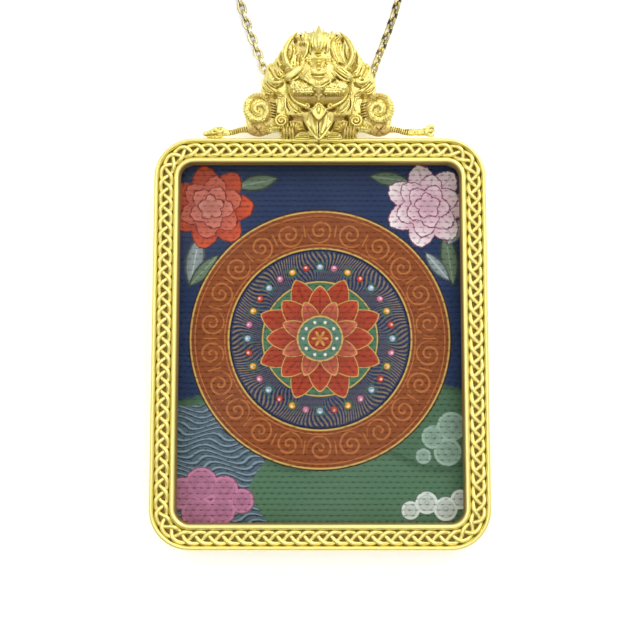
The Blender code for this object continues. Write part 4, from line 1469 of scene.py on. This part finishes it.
def shape_plumes(cast):
    """The locks that hook round at either side of the head, and the thin ones below them."""
    cast.pair(
        [(7.8, 11.1, 5.2, 0.12), (7.7, 10.2, 5.6, 0.27), (7.4, 9.45, 5.85, 0.3), (6.9, 8.95, 6.1, 0.22)],
        [(7.4, 11.5, 5.2, 0.12), (7.2, 10.6, 5.75, 0.25), (6.8, 9.75, 6.15, 0.27), (6.25, 9.2, 6.4, 0.27),
         (5.5, 9.1, 6.5, 0.16)],
        [(6.95, 11.7, 5.2, 0.1), (6.75, 10.7, 5.8, 0.21), (6.3, 9.95, 6.2, 0.22),
         (5.75, 9.6, 6.35, 0.14)],
        [(6.5, 11.5, 5.3, 0.1), (6.3, 10.6, 5.85, 0.19), (5.95, 10.05, 6.15, 0.19),
         (5.5, 9.85, 6.3, 0.1)],
        [(6.0, 11.2, 5.5, 0.1), (5.8, 10.5, 6.0, 0.17), (5.4, 10.15, 6.2, 0.1)],
        [(8.1, 10.1, 5.1, 0.1), (7.75, 9.2, 5.7, 0.22), (7.0, 8.72, 6.2, 0.26), (6.2, 8.62, 6.5, 0.26),
         (5.6, 8.8, 6.6, 0.14)],
        [(8.3, 9.6, 5.0, 0.1), (8.0, 8.9, 5.5, 0.17), (7.5, 8.4, 5.8, 0.17), (6.9, 8.15, 6.0, 0.09)],
        [(8.45, 9.2, 5.0, 0.09), (8.1, 8.5, 5.4, 0.16), (7.5, 7.98, 5.8, 0.17), (6.5, 7.5, 6.1, 0.15),
         (5.7, 7.15, 6.3, 0.08)],
        [(8.5, 8.8, 5.0, 0.09), (8.15, 8.05, 5.4, 0.2), (7.4, 7.5, 5.9, 0.22), (6.4, 7.0, 6.2, 0.19),
         (5.5, 6.55, 6.4, 0.08)],
        [(8.65, 8.3, 4.9, 0.09), (8.4, 7.6, 5.3, 0.18), (8.0, 7.1, 5.5, 0.2), (7.3, 6.85, 5.6, 0.15)],
        [(8.75, 7.7, 4.9, 0.08), (8.55, 7.1, 5.2, 0.16), (8.2, 6.7, 5.3, 0.15)],
    )
    cast.lumps(6.6, 9.8, 5.0, (1.1, 1.9, 0.95), 32)
    cast.lumps(7.1, 8.0, 4.9, (1.8, 0.85, 0.95), 35)
    cast.lumps(7.4, 7.0, 4.9, (1.2, 0.5, 0.7), 25)
    cast.lumps(6.1, 6.25, 5.9, (0.24, 0.24, 0.4))


def shape_beak(cast):
    """Two flared petals with raised edges that meet in a point over the rim, under a jewelled lozenge."""
    petal = [(0.08, 0.1), (0.6, 0.55), (1.25, 1.6), (2.0, 2.65), (1.7, 2.9), (1.75, 3.5), (1.4, 4.2),
             (0.8, 4.3), (0.08, 4.3)]
    cast.plates(petal, 5.6, 6.95, 0.1)
    cast.pair(
        [(2.2, 2.72, 6.9, 0.07), (1.65, 1.95, 7.3, 0.15), (1.05, 1.02, 7.7, 0.18), (0.5, 0.35, 8.0, 0.19),
         (0.0, -0.12, 8.1, 0.15)],
        [(0.16, 2.95, 7.5, 0.07), (0.16, 2.0, 7.65, 0.09), (0.17, 1.1, 7.85, 0.09),
         (0.14, 0.45, 8.1, 0.09)],
        [(0.0, 0.0, 7.9, 0.2), (0.0, -0.5, 7.2, 0.12)],
        [(1.0, 3.8, 6.8, 0.4), (1.0, 2.8, 6.7, 0.5), (0.75, 1.8, 6.8, 0.45), (0.4, 0.8, 7.3, 0.3)],
        [(0.6, 4.15, 7.2, 0.07), (1.35, 4.2, 7.3, 0.1), (1.72, 3.6, 7.25, 0.11), (1.72, 2.95, 7.0, 0.07)],
    )
    half = ((0.0, 5.45), (0.5, 5.05), (0.88, 4.6), (0.88, 4.25), (0.5, 3.4), (0.0, 2.95))
    cast.whole_plate(half, 6.3, 8.0, 0.08)
    cast.pair(
        [(0.0, 5.52, 8.1, 0.12), (0.48, 5.12, 8.25, 0.13), (0.85, 4.72, 8.2, 0.13),
         (1.4, 4.65, 7.8, 0.07)],
        [(1.4, 4.62, 7.8, 0.06), (0.98, 4.3, 8.1, 0.12), (0.52, 3.42, 8.25, 0.13),
         (0.0, 2.95, 8.25, 0.12)],
    )
    cast.lump(0, 4.42, 8.1, (0.3, 0.55, 0.33))


def shape_scrolls(cast):
    """Scroll plates, fists, tufts of blades and the small ledges over the frame's rim."""
    volute = (5.65, 2.85)
    cast.lumps(*volute, 5.9, (1.12, 0.98, 0.8))
    groove = []
    for step in range(19):
        place = polar(volute, math.radians(150 - 28 * step), 0.82 - 0.036 * step, 0.9)
        groove.append((*place, 0.05 + 0.002 * step))
    cast.cuts_both(0.3, groove)
    spiral = []
    steps = 26
    for step in range(steps + 1):
        share = step / steps
        place = polar(volute, math.radians(100 - 620 * share), 1.0 - 0.8 * share, 0.92)
        spiral.append((*place, 6.45 + 0.3 * share, 0.12))
    cast.pair(spiral, smooth=0)
    for finger in range(4):
        at = 4.0 + 0.46 * finger
        cast.pair(
            [(at, 1.95, 6.3, 0.13), (at, 1.5, 6.75, 0.18), (at - 0.05, 0.85, 6.7, 0.19),
             (at - 0.1, 0.25, 6.2, 0.17), (at - 0.1, -0.05, 5.9, 0.12)],
        )
    cast.lumps(4.65, 1.0, 5.7, (1.1, 0.9, 0.75))
    for bead in range(5):
        cast.lumps(5.55 + 0.46 * bead, 1.72 - 0.03 * bead, 6.1 - 0.06 * bead, (0.23, 0.22, 0.3))
    for across, up in ((4.35, 2.75), (3.8, 2.75), (3.2, 2.55), (2.7, 2.1), (2.45, 1.55)):
        middle = ((3.9 + across) / 2, (1.35 + up) / 2 + 0.05)
        cast.pair([(3.9, 1.35, 6.2, 0.1), (*middle, 6.85, 0.21), (across, up, 6.6, 0.09)])
        aside = (middle[0] - 0.16, middle[1] - 0.2)
        cast.cuts_both(
            0.3, [(3.7, 1.3, 0.04), (*aside, 0.07), (across - 0.25, up - 0.3, 0.1)], shade_and_patina=1.2,
        )
    cast.lumps(3.3, 1.7, 5.2, (1.1, 0.8, 0.4))
    cast.lumps(2.45, 0.35, 5.7, (1.2, 0.6, 0.55))
    cast.pair(
        [(1.35, 0.15, 6.1, 0.08), (1.75, 0.75, 6.2, 0.11), (2.45, 1.0, 6.3, 0.12), (3.1, 0.8, 6.2, 0.11),
         (3.55, 0.25, 6.1, 0.08)],
        [(1.3, 0.12, 6.15, 0.1), (2.45, 0.08, 6.25, 0.13), (3.6, 0.12, 6.15, 0.1)],
        [(1.6, 0.48, 6.1, 0.07), (2.45, 0.5, 6.25, 0.09), (3.3, 0.48, 6.1, 0.07)],
    )


def cut_upper_lines(cast):
    """The dark lines and pockets of the upper half: round jewel, hair, horns, ears, lids and locks."""
    cast.cut(
        0.3, [(-0.55, 13.15, 0.05), (-0.2, 13.08, 0.09), (0.3, 13.12, 0.05)],
        [(-1.35, 13.1, 0.08), (-1.25, 13.0, 0.1)], [(0.9, 13.25, 0.08), (1.0, 13.1, 0.1)],
        [(1.05, 11.65, 0.12), (1.15, 11.45, 0.13)], [(-1.55, 11.65, 0.1), (-1.45, 11.45, 0.12)],
        [(-1.5, 15.3, 0.05), (-1.38, 14.2, 0.06), (-1.6, 13.2, 0.06), (-2.1, 12.4, 0.05)],
        [(-2.8, 15.7, 0.06), (-2.45, 14.9, 0.07), (-2.2, 14.1, 0.03)],
        [(-3.1, 15.5, 0.05), (-2.85, 14.9, 0.06), (-2.65, 14.2, 0.03)],
        [(-3.3, 12.5, 0.03), (-3.4, 11.3, 0.07)], [(-2.85, 12.4, 0.03), (-2.88, 11.3, 0.07)],
        [(2.75, 16.0, 0.05), (2.1, 15.2, 0.07), (1.88, 14.5, 0.08), (1.92, 13.6, 0.08),
         (2.25, 12.7, 0.07), (2.8, 11.6, 0.05)],
        [(3.05, 15.7, 0.04), (2.5, 15.1, 0.06), (2.25, 14.5, 0.07), (2.28, 13.6, 0.07), (2.6, 12.7, 0.06),
         (3.1, 11.7, 0.04)],
        [(3.2, 15.3, 0.03), (2.75, 14.7, 0.06), (2.62, 14.0, 0.07), (2.85, 13.1, 0.06),
         (3.4, 12.0, 0.04)],
        [(3.3, 14.6, 0.04), (3.02, 13.9, 0.06), (3.2, 13.0, 0.06), (3.7, 12.0, 0.04)],
    )
    cast.cuts_both(
        0.8, [(3.65, 15.4, 0.1), (3.57, 15.0, 0.2), (3.62, 14.8, 0.12)],
        [(2.85, 16.05, 0.06), (2.75, 15.85, 0.09)],
    )
    cast.cuts_both(
        0.3,
        [(3.45, 16.1, 0.05), (4.2, 15.05, 0.06), (4.7, 13.9, 0.07), (4.82, 12.8, 0.07),
         (4.35, 11.5, 0.06)],
        [(4.05, 14.3, 0.05), (3.98, 13.3, 0.06), (4.3, 12.2, 0.06)],
    )
    cast.cuts_both(
        0.16, [(4.6, 15.2, 0.03), (5.3, 14.0, 0.04), (5.45, 12.9, 0.04), (5.1, 11.8, 0.03)],
        [(4.3, 14.0, 0.03), (4.4, 13.2, 0.04), (4.45, 12.5, 0.03)],
    )
    # Grooves under the lids and two short pits, with painted shade on their floors
    cast.cut(
        0.6, [(-4.8, 8.62, 0.07), (-3.95, 8.92, 0.14), (-3.5, 9.2, 0.2), (-3.18, 9.45, 0.2)],
        [(2.72, 9.47, 0.12), (3.1, 9.15, 0.13), (3.6, 8.87, 0.12), (4.6, 8.68, 0.07)],
        [(-2.85, 9.0, 0.14), (-2.6, 8.9, 0.17)], [(2.1, 9.0, 0.12), (2.4, 8.98, 0.16)], shade_and_patina=1.7,
    )
    cast.cut(
        0.35, [(5.78, 11.95, 0.08), (5.9, 11.4, 0.1)], [(-6.3, 11.7, 0.08), (-6.15, 11.1, 0.1)],
        [(-2.3, 8.95, 0.04), (-1.5, 8.5, 0.07), (-1.15, 8.3, 0.1), (-0.7, 8.0, 0.05)],
        [(1.55, 8.87, 0.06), (1.1, 8.6, 0.11), (0.4, 8.22, 0.06)],
        [(-1.0, 9.84, 0.1), (-0.8, 9.79, 0.07), (0.6, 9.79, 0.07), (0.78, 9.88, 0.06)],
        [(-5.0, 10.05, 0.05), (-4.5, 10.4, 0.1), (-4.1, 10.65, 0.06)],
        [(4.3, 10.6, 0.07), (4.6, 10.38, 0.12), (4.95, 10.15, 0.1)],
        [(-7.4, 10.6, 0.08), (-7.05, 9.9, 0.09), (-6.65, 9.3, 0.09), (-6.1, 8.95, 0.06)],
        [(-6.75, 10.6, 0.08), (-6.4, 9.9, 0.1), (-6.05, 9.4, 0.06)],
        [(-6.2, 10.3, 0.04), (-5.9, 9.7, 0.05)], [(-5.8, 9.1, 0.1), (-5.35, 9.38, 0.1)],
        [(7.23, 10.9, 0.09), (6.95, 10.2, 0.1), (6.55, 9.5, 0.06)],
        [(6.55, 10.9, 0.05), (6.3, 10.2, 0.06), (5.95, 9.75, 0.05)],
        [(5.35, 9.43, 0.07), (5.95, 9.33, 0.08)],
        [(2.2, 10.65, 0.04), (2.75, 10.15, 0.05), (3.5, 9.6, 0.05), (4.3, 9.15, 0.05)],
        [(2.75, 10.85, 0.04), (3.2, 10.35, 0.05), (3.9, 9.9, 0.05), (4.5, 9.55, 0.04)],
        [(3.3, 10.9, 0.04), (3.8, 10.5, 0.05), (4.4, 10.0, 0.04)],
        [(-2.6, 10.2, 0.04), (-3.2, 9.65, 0.05), (-4.2, 9.05, 0.05)],
    )


def cut_lower_lines(cast):
    """The dark lines and pockets of the lower half: round cheeks, jaw, beak, scrolls and fists."""
    cast.cuts_both(
        0.55, [(5.45, 8.55, 0.1), (5.7, 8.28, 0.18), (6.0, 8.0, 0.12)],
        [(6.1, 7.97, 0.1), (6.35, 7.9, 0.12)], [(6.68, 6.8, 0.14), (6.6, 6.45, 0.24)],
        [(1.25, 7.0, 0.08), (1.1, 6.7, 0.12)],
    )
    cast.cuts_both(
        0.35, [(8.1, 8.45, 0.04), (7.4, 7.72, 0.06), (6.7, 7.15, 0.07), (5.45, 6.52, 0.08)],
        [(7.9, 8.8, 0.04), (7.2, 8.05, 0.05), (6.3, 7.55, 0.04)],
        [(8.5, 7.9, 0.04), (8.1, 7.35, 0.05), (7.5, 7.05, 0.04)],
        [(4.6, 6.9, 0.05), (4.2, 6.05, 0.07), (3.45, 5.35, 0.08), (2.7, 4.9, 0.06)],
        [(4.85, 6.4, 0.05), (4.85, 5.0, 0.06), (4.4, 4.3, 0.05)],
        [(3.6, 4.05, 0.04), (2.95, 3.95, 0.05), (2.4, 4.25, 0.05)],
        [(1.45, 4.42, 0.07), (0.8, 3.5, 0.09), (0.1, 2.82, 0.07)],
    )
    for lock in range(LOCKS - 1):
        gap = 1.15 + LOCK_GAP * (lock + 0.5)
        cast.cuts_both(0.22, [(gap - 0.04, 6.98, 0.02), (gap, 6.6, 0.08)], shade_and_patina=0.6)
    cast.cut(
        0.22, [(-2.95, 8.0, 0.06), (-2.8, 7.92, 0.07)], [(-2.4, 7.8, 0.05), (-1.7, 7.84, 0.05)],
        [(-1.9, 8.35, 0.04), (-1.4, 8.1, 0.04)], [(-3.7, 8.3, 0.04), (-3.65, 7.9, 0.05)],
        [(1.2, 7.86, 0.05), (1.9, 7.9, 0.05)], [(2.3, 8.05, 0.06), (2.5, 8.05, 0.06)],
        [(2.9, 7.9, 0.05), (3.3, 7.8, 0.05)], [(2.5, 8.65, 0.05), (2.95, 8.55, 0.05)],
    )
    # Deep pockets beside the beak and the scroll plates, with painted shade on their floors
    cast.cuts_both(
        0.9, [(0.85, 5.2, 0.2), (1.2, 5.12, 0.26)],
        [(1.75, 4.4, 0.18), (2.1, 4.5, 0.27), (2.45, 4.6, 0.16)],
        [(4.3, 3.45, 0.16), (4.1, 3.2, 0.24), (4.35, 2.9, 0.12)], [(4.46, 3.2, 0.08), (4.44, 2.0, 0.08)],
        [(2.3, 2.6, 0.12), (1.75, 1.4, 0.16)], shade_and_patina=1.6,
    )
    cast.cuts_both(
        0.35, [(3.9, 3.35, 0.16), (3.3, 3.1, 0.2), (2.6, 3.3, 0.2)], [(3.2, 3.5, 0.1), (2.5, 2.8, 0.16)],
        shade_and_patina=1.2,
    )
    for gap in (4.2, 4.62, 5.05, 5.5):
        cast.cuts_both(0.4, [(gap, 1.8, 0.04), (gap - 0.08, 0.3, 0.08)])
    cast.cuts_both(0.3, [(1.65, 0.62, 0.05), (2.9, 0.6, 0.06)], [(1.55, 0.3, 0.04), (3.3, 0.3, 0.04)])
    cast.cuts_both(0.1, [(5.35, 6.3, 0.06), (5.45, 5.2, 0.08), (5.3, 4.3, 0.05)], shade_and_patina=0.5)
    cast.cuts_both(0.1, [(5.85, 6.1, 0.05), (5.95, 5.2, 0.07), (5.9, 4.5, 0.05)], shade_and_patina=0.5)
    cast.cut(0.6, [(0.0, 3.0, 0.05), (0.0, 0.5, 0.09)])


def lay_painted_shade(cast):
    """Painted shade: the brown laid in the mask's broad hollows, and a painted shadow at the beak's tip.
    """
    cast.painted_shade_bands_both(0.95, [(0.2, 6.3, 0.55), (2.2, 6.1, 0.55), (3.5, 6.4, 0.45)])
    cast.painted_shade_bands_both(0.9, [(5.6, 13.0, 0.3), (5.75, 12.2, 0.35)], [(3.4, 15.4, 0.3), (3.5, 15.0, 0.3)])
    cast.painted_shade_bands_both(
        0.8, [(0.1, 7.3, 0.45), (0.0, 5.8, 0.4)], [(4.0, 1.3, 0.5), (5.6, 1.2, 0.6)],
        [(2.2, 3.2, 0.6), (3.4, 3.0, 0.7), (4.3, 2.9, 0.4)],
    )
    cast.painted_shade_bands_both(0.6, [(1.9, 1.0, 0.3), (3.4, 0.9, 0.4)])
    cast.painted_shade_bands_both(0.55, [(1.5, 4.2, 0.3), (0.9, 2.4, 0.35)])
    # Painted shadow at the beak's tip
    cast.painted_shade_band(1.2, [(0.0, -0.3, 0.35), (0.0, -0.7, 0.4)])
    cast.painted_shade_band(0.75, [(-2.4, 15.2, 0.4), (-2.5, 14.2, 0.55), (-2.6, 13.2, 0.5)])


class PENDANT_OT_mask(bpy.types.Operator):
    """Models the horned bird mask: jewel, hair, horns and plumes, then face, beak and scrolls"""

    bl_idname = "pendant.mask"
    bl_label = "Bird mask"

    def execute(self, context):
        cast = Casting()
        for shape in (
            shape_backing,
            shape_jewel,
            shape_hair,
            shape_horns,
            shape_brows,
            shape_cheeks,
            shape_jaw,
            shape_plumes,
            shape_beak,
            shape_scrolls,
            cut_upper_lines,
            cut_lower_lines,
            lay_painted_shade,
        ):
            shape(cast)
        mask = cast.fuse(MASK_TRIANGLES)
        finish = cast_gold_finish("crest_gold")
        finish_piece(mask, "bird_mask", finish, ["mask"], FINE_SMOOTH)
        return {"FINISHED"}


def shape_coil(cast):
    """A serpent's tail: a hatched spiral round an eye, with spines on its outer edge."""
    eye = (9.05, 4.35)
    sweep = (
        (125, 2.35, 0.2), (85, 2.35, 0.4), (45, 2.15, 0.55), (0, 1.88, 0.6), (-45, 1.65, 0.6),
        (-90, 1.45, 0.56), (-135, 1.3, 0.5), (-180, 1.2, 0.45), (-225, 1.12, 0.4), (-270, 1.02, 0.36),
        (-315, 0.86, 0.33), (-360, 0.66, 0.3), (-405, 0.46, 0.26), (-450, 0.26, 0.2),
    )
    spiral = []
    steps = 24
    for number, (start, stop) in enumerate(zip(sweep, sweep[1:])):
        for step in range(steps):
            turn, reach, radius = Vector(start).lerp(Vector(stop), step / steps)
            place = number + step / steps
            hatch = 1 + HATCH_DEPTH * math.sin(place * 2 * math.pi * 4)
            spiral.append((*polar(eye, math.radians(turn), reach), 5.15 + 0.06 * place, radius * hatch))
    cast.strokes(spiral, smooth=0)
    cast.lump(eye[0] + 0.1, eye[1] + 0.2, 4.5, (1.9, 1.9, 0.9))
    cast.lump(7.35, 4.2, 4.7, (1.25, 2.5, 0.55))
    cast.lump(9.6, 2.2, 4.75, (1.3, 0.75, 0.5))
    cast.lump(7.6, 2.3, 4.7, (1.5, 0.55, 0.45))
    for tooth in range(6):
        up = 5.6 - 0.42 * tooth
        cast.strokes([(7.35, up + 0.15, 5.35, 0.15), (6.5, up - 0.1, 5.4, 0.07)], smooth=0)
        cast.cut(0.3, [(7.25, up - 0.08, 0.06), (6.55, up - 0.3, 0.1)], shade_and_patina=1.7)
    # Painted shade on the coil's side towards the mask and along two arcs of its turns
    cast.painted_shade_band(0.6, [(7.3, 6.2, 0.5), (7.0, 4.6, 0.8), (7.2, 3.0, 0.8), (8.0, 2.2, 0.6)])
    for start, stop, reach in ((60, 130, 2.35), (135, 235, 1.95)):
        turns = [math.radians(turn) for turn in range(start, stop + 1, 10)]
        cast.painted_shade_band(0.95, [(*polar(eye, turn, reach), 0.3) for turn in turns])
    cast.lump(*eye, 5.75, (0.2, 0.2, 0.3))
    for spine in range(SPINES):
        turn = math.radians(60 + 150 * spine / (SPINES - 1))
        reach = 2.75 - 0.75 * spine / (SPINES - 1)
        foot = (*polar(eye, turn, reach - 0.5), 5.5, 0.16)
        point = (*polar(eye, turn + 0.16, reach + 0.05), 5.35, 0.05)
        cast.strokes([foot, point], sides=6, smooth=0)


def wrap(line, turns, reach, radius, side):
    """A thin cord wound round a limb: reach is how far out it runs, as a share of the limb's radius."""
    steps = turns * 10
    upright = Vector((0, 0, 1))
    wound = []
    for step in range(steps + 1):
        place = step / steps * (len(line) - 1)
        at = min(int(place), len(line) - 2)
        start, stop = Vector(line[at]), Vector(line[at + 1])
        x, up, z, limb = start.lerp(stop, place - at)
        aside = upright.cross((stop - start).xyz.normalized())
        angle = 2 * math.pi * turns * step / steps
        out = (aside * (side * math.cos(angle)) + upright * math.sin(angle)) * limb * reach
        wound.append((x + out.x, up + out.y, z + out.z, radius))
    return wound


def shape_body(cast):
    """A serpent's body along the frame's edge: it sags under the coil and rises again beyond it."""
    body = [
        (6.0, 1.55, 5.4, 0.48), (7.0, 1.5, 5.35, 0.5), (7.9, 1.2, 5.2, 0.52), (8.9, 0.95, 5.2, 0.6),
        (9.9, 1.1, 5.2, 0.6), (10.8, 1.5, 5.1, 0.5), (11.8, 1.4, 5.0, 0.4), (13.2, 0.98, 4.9, 0.4),
        (14.4, 0.95, 4.9, 0.45),
    ]
    cast.strokes(body)
    neck = wrap(body[:3], 7, 0.95, 0.1, cast.side)
    trunk = wrap(body[5:], 14, 0.97, 0.09, cast.side)
    cast.strokes(neck, trunk, smooth=0)
    cast.strokes([(10.3, 1.6, 5.1, 0.42), (10.5, 2.3, 5.1, 0.45), (10.7, 3.1, 5.1, 0.45)])
    cast.strokes(
        [(7.0, 1.8, 6.0, 0.16), (7.45, 2.25, 6.1, 0.19), (8.0, 2.1, 6.1, 0.18), (8.2, 1.6, 5.9, 0.1)],
    )
    cast.lump(9.0, 1.6, 5.0, (1.1, 0.9, 0.7))
    # Painted shade on the body where it runs under the coil
    cast.painted_shade_band(1.15, [(7.9, 1.0, 0.5), (9.0, 1.0, 0.9), (10.4, 1.3, 0.6)])
    cast.painted_shade_band(1.0, [(8.4, 2.2, 0.4), (9.6, 2.2, 0.5), (10.1, 2.3, 0.4)])
    cast.cut(0.3, [(9.8, 2.0, 0.05), (9.1, 1.2, 0.12), (8.7, 0.7, 0.05)], shade_and_patina=1.6)
    cast.cut(0.25, [(8.7, 1.8, 0.04), (9.4, 1.1, 0.07), (9.9, 0.6, 0.04)], shade_and_patina=1.3)
    for ring in range(9):
        at = 10.9 + 0.32 * ring
        middle = 1.45 - 0.17 * (at - 10.9)
        cast.cut(0.3, [(at - 0.1, middle - 0.35, 0.05), (at + 0.1, middle + 0.4, 0.06)], shade_and_patina=1.3)
    for slant in (-0.35, 0.35):
        for number in range(5):
            at = 8.1 + 0.45 * number
            cast.strokes(
                [(at - slant, 0.55, 5.5, 0.07), (at, 1.1, 5.85, 0.09), (at + slant, 1.75, 5.6, 0.07)],
            )


def shape_serpent_head(cast):
    """The left-hand serpent's flat head, with its jaws, brow and comb."""
    cast.strokes(
        [(13.9, 0.95, 4.9, 0.5), (14.8, 1.05, 5.1, 0.66), (15.8, 1.0, 5.15, 0.7), (16.7, 0.85, 5.0, 0.52),
         (17.35, 0.75, 4.85, 0.34)],
        [(14.6, 0.45, 5.0, 0.3), (15.8, 0.38, 5.1, 0.3), (17.0, 0.42, 5.0, 0.26)],
        [(14.3, 1.5, 5.3, 0.26), (15.1, 1.62, 5.5, 0.32), (15.9, 1.48, 5.5, 0.28),
         (16.4, 1.15, 5.4, 0.16)],
        [(15.1, 1.05, 5.8, 0.12), (15.9, 0.95, 5.85, 0.15), (16.8, 0.85, 5.5, 0.12)],
    )
    cast.lump(17.15, 0.85, 5.1, (0.48, 0.38, 0.4))
    cast.lump(15.7, 1.3, 5.85, (0.2, 0.17, 0.2))
    cast.cut(
        0.25, [(17.5, 0.6, 0.05), (16.4, 0.62, 0.06), (15.3, 0.72, 0.05)],
        [(15.95, 1.2, 0.05), (15.5, 1.1, 0.05)], [(14.8, 1.9, 0.05), (14.9, 1.45, 0.05)],
        [(15.3, 1.95, 0.05), (15.3, 1.55, 0.05)], [(14.5, 1.2, 0.05), (14.6, 0.7, 0.05)], shade_and_patina=0.8,
    )


def shape_serpent_tail(cast):
    """The right-hand serpent's flared end of three lobes."""
    cast.strokes(
        [(14.2, 1.05, 4.9, 0.5), (15.4, 1.0, 4.9, 0.52), (16.3, 1.15, 5.0, 0.66), (16.9, 1.3, 5.0, 0.6)],
        [(16.3, 1.4, 5.1, 0.36), (16.9, 1.85, 5.2, 0.4), (17.45, 2.0, 4.9, 0.28)],
        [(16.3, 1.2, 5.2, 0.36), (17.0, 1.3, 5.3, 0.4), (17.55, 1.35, 4.9, 0.26)],
        [(16.1, 0.85, 5.1, 0.36), (16.9, 0.65, 5.1, 0.34), (17.45, 0.55, 4.8, 0.22)],
    )
    cast.lump(16.35, 1.25, 5.6, (0.34, 0.62, 0.3))
    for bead in range(8):
        at = 13.3 + 0.38 * bead
        for row, up in enumerate((0.8, 1.15, 1.45)):
            cast.lump(at + 0.19 * (row % 2), up, 5.25 - 0.1 * abs(row - 1), (0.17, 0.15, 0.25))
    cast.cut(0.25, [(16.9, 1.0, 0.07), (17.7, 0.95, 0.08)], [(16.9, 1.6, 0.07), (17.7, 1.68, 0.08)])


class PENDANT_OT_serpents(bpy.types.Operator):
    """Models the serpents that the mask grips: a head to the left, a flared end to the right"""

    bl_idname = "pendant.serpents"
    bl_label = "Serpents"

    def execute(self, context):
        for name, side, shape_end in (
            ("serpent_left", -1, shape_serpent_head),
            ("serpent_right", 1, shape_serpent_tail),
        ):
            cast = Casting(side)
            shape_coil(cast)
            shape_body(cast)
            shape_end(cast)
            serpent = cast.fuse(SERPENT_TRIANGLES)
            finish = cast_gold_finish(f"{name}_gold", SCALE_DEPTH)
            finish_piece(serpent, f"cast_{name}", finish, [name], FINE_SMOOTH)
        return {"FINISHED"}


# ---------------------------------------------------------------- cloth, glass and back


class PENDANT_OT_cloth(bpy.types.Operator):
    """Stretches the painted cloth under the glass"""

    bl_idname = "pendant.cloth"
    bl_label = "Painted cloth"

    def execute(self, context):
        cloth = rounded_plate(CLOTH_INSET, CLOTH_LOW.z)
        edit(cloth)
        step_up(CLOTH_HIGH.z - CLOTH_LOW.z)
        done_editing()
        tidy_shell(cloth)
        modify(cloth, "BEVEL", width=0.12, segments=3)
        finish_piece(cloth, "painted_cloth", painted_finish(), ["thangka_cloth"])
        return {"FINISHED"}


class PENDANT_OT_finishes(bpy.types.Operator):
    """Gives the glass, the back plate and the chain's tube their finishes"""

    bl_idname = "pendant.finishes"
    bl_label = "Glass, back and tube"

    def execute(self, context):
        finishes = {
            "glass": glass_finish(),
            "back_plate": gold_finish("brushed_back"),
            "bail_tube": gold_finish("tube_gold"),
        }
        for node, finish in finishes.items():
            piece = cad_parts[node]
            piece.data.materials.clear()
            piece.data.materials.append(finish)
        return {"FINISHED"}


# ---------------------------------------------------------------- stage


def studio_world():
    """A soft white tent: brightest overhead, darker towards the horizon and darkest on the near side."""
    world = bpy.data.worlds.new("studio")
    world.use_nodes = True
    tree = world.node_tree
    place = tree.nodes.new("ShaderNodeTexCoord")
    slope = tree.nodes.new("ShaderNodeVectorMath")
    slope.operation = "DOT_PRODUCT"
    slope.inputs[1].default_value = TENT_TOP
    tree.links.new(place.outputs["Generated"], slope.inputs[0])
    spread = tree.nodes.new("ShaderNodeMapRange")
    spread.interpolation_type = "SMOOTHSTEP"
    for socket, value in enumerate((*TENT_SLOPES, *TENT_STRENGTHS), start=1):
        spread.inputs[socket].default_value = value
    tree.links.new(slope.outputs["Value"], spread.inputs[0])
    background = tree.nodes["Background"]
    tree.links.new(spread.outputs[0], background.inputs["Strength"])
    background.inputs["Color"].default_value = (1, 1, 1, 1)
    return world


class PENDANT_OT_stage(bpy.types.Operator):
    """Sets the pale floor, the soft lights and the camera above the pendant"""

    bl_idname = "pendant.stage"
    bl_label = "Stage"

    def execute(self, context):
        scene = context.scene
        scene.view_settings.view_transform = "Standard"
        scene.world = studio_world()
        bpy.ops.object.select_all(action="DESELECT")
        bpy.ops.mesh.primitive_plane_add(size=FLOOR_SIZE, location=(0, 0, -FLOOR_DROP * MM))
        floor = bpy.context.object
        floor.name = "floor"
        paper = Finish("pale_paper", Base_Color=(0.92, 0.92, 0.92), Roughness=0.9, Emission_Strength=0.3)
        paper.shader.inputs["Emission Color"].default_value = (1, 1, 1, 1)
        floor.data.materials.append(paper.material)
        for name, place, size, power in LIGHTS:
            lamp = bpy.data.lights.new(name, "AREA")
            lamp.energy = power
            lamp.size = size
            light = add(name, lamp)
            light.location = place
            light.rotation_euler = (-Vector(place)).to_track_quat("-Z", "Y").to_euler()
        lens = bpy.data.cameras.new("camera")
        lens.lens = CAMERA_LENS
        lens.clip_start = 0.01
        camera = add("camera", lens)
        camera.location = camera_place() * MM
        camera.rotation_euler = (math.radians(CAMERA_TILT), 0, 0)
        scene.camera = camera
        return {"FINISHED"}


STEPS = (
    PENDANT_OT_stage,
    PENDANT_OT_chain,
    PENDANT_OT_frame,
    PENDANT_OT_plait,
    PENDANT_OT_mask,
    PENDANT_OT_serpents,
    PENDANT_OT_cloth,
    PENDANT_OT_finishes,
)


class PENDANT_PT_panel(bpy.types.Panel):
    """Lists the sizes, the colours and the steps that dress the pendant"""

    bl_idname = "PENDANT_PT_panel"
    bl_label = "Framed thangka pendant"
    bl_space_type = "VIEW_3D"
    bl_region_type = "UI"
    bl_category = "Pendant"

    def draw(self, context):
        for group in (context.scene.pendant_sizes, context.scene.pendant_colours):
            box = self.layout.box()
            for name in group.__annotations__:
                box.prop(group, name)
        for step in STEPS:
            self.layout.operator(step.bl_idname)


GROUPS = {"pendant_sizes": PendantSizes, "pendant_colours": PendantColours}


def register():
    """Makes the sizes, the colours, the steps and the panel known to Blender."""
    for name, group in GROUPS.items():
        bpy.utils.register_class(group)
        setattr(bpy.types.Scene, name, bpy.props.PointerProperty(type=group))
    for step in (*STEPS, PENDANT_PT_panel):
        bpy.utils.register_class(step)


def unregister():
    """Undoes register."""
    for step in (PENDANT_PT_panel, *reversed(STEPS)):
        bpy.utils.unregister_class(step)
    for name, group in GROUPS.items():
        delattr(bpy.types.Scene, name)
        bpy.utils.unregister_class(group)


def main():
    """Dresses the pendant."""
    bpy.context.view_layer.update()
    register()
    for step in STEPS:
        area, name = step.bl_idname.split(".")
        getattr(getattr(bpy.ops, area), name)()


if __name__ == "__main__":
    main()
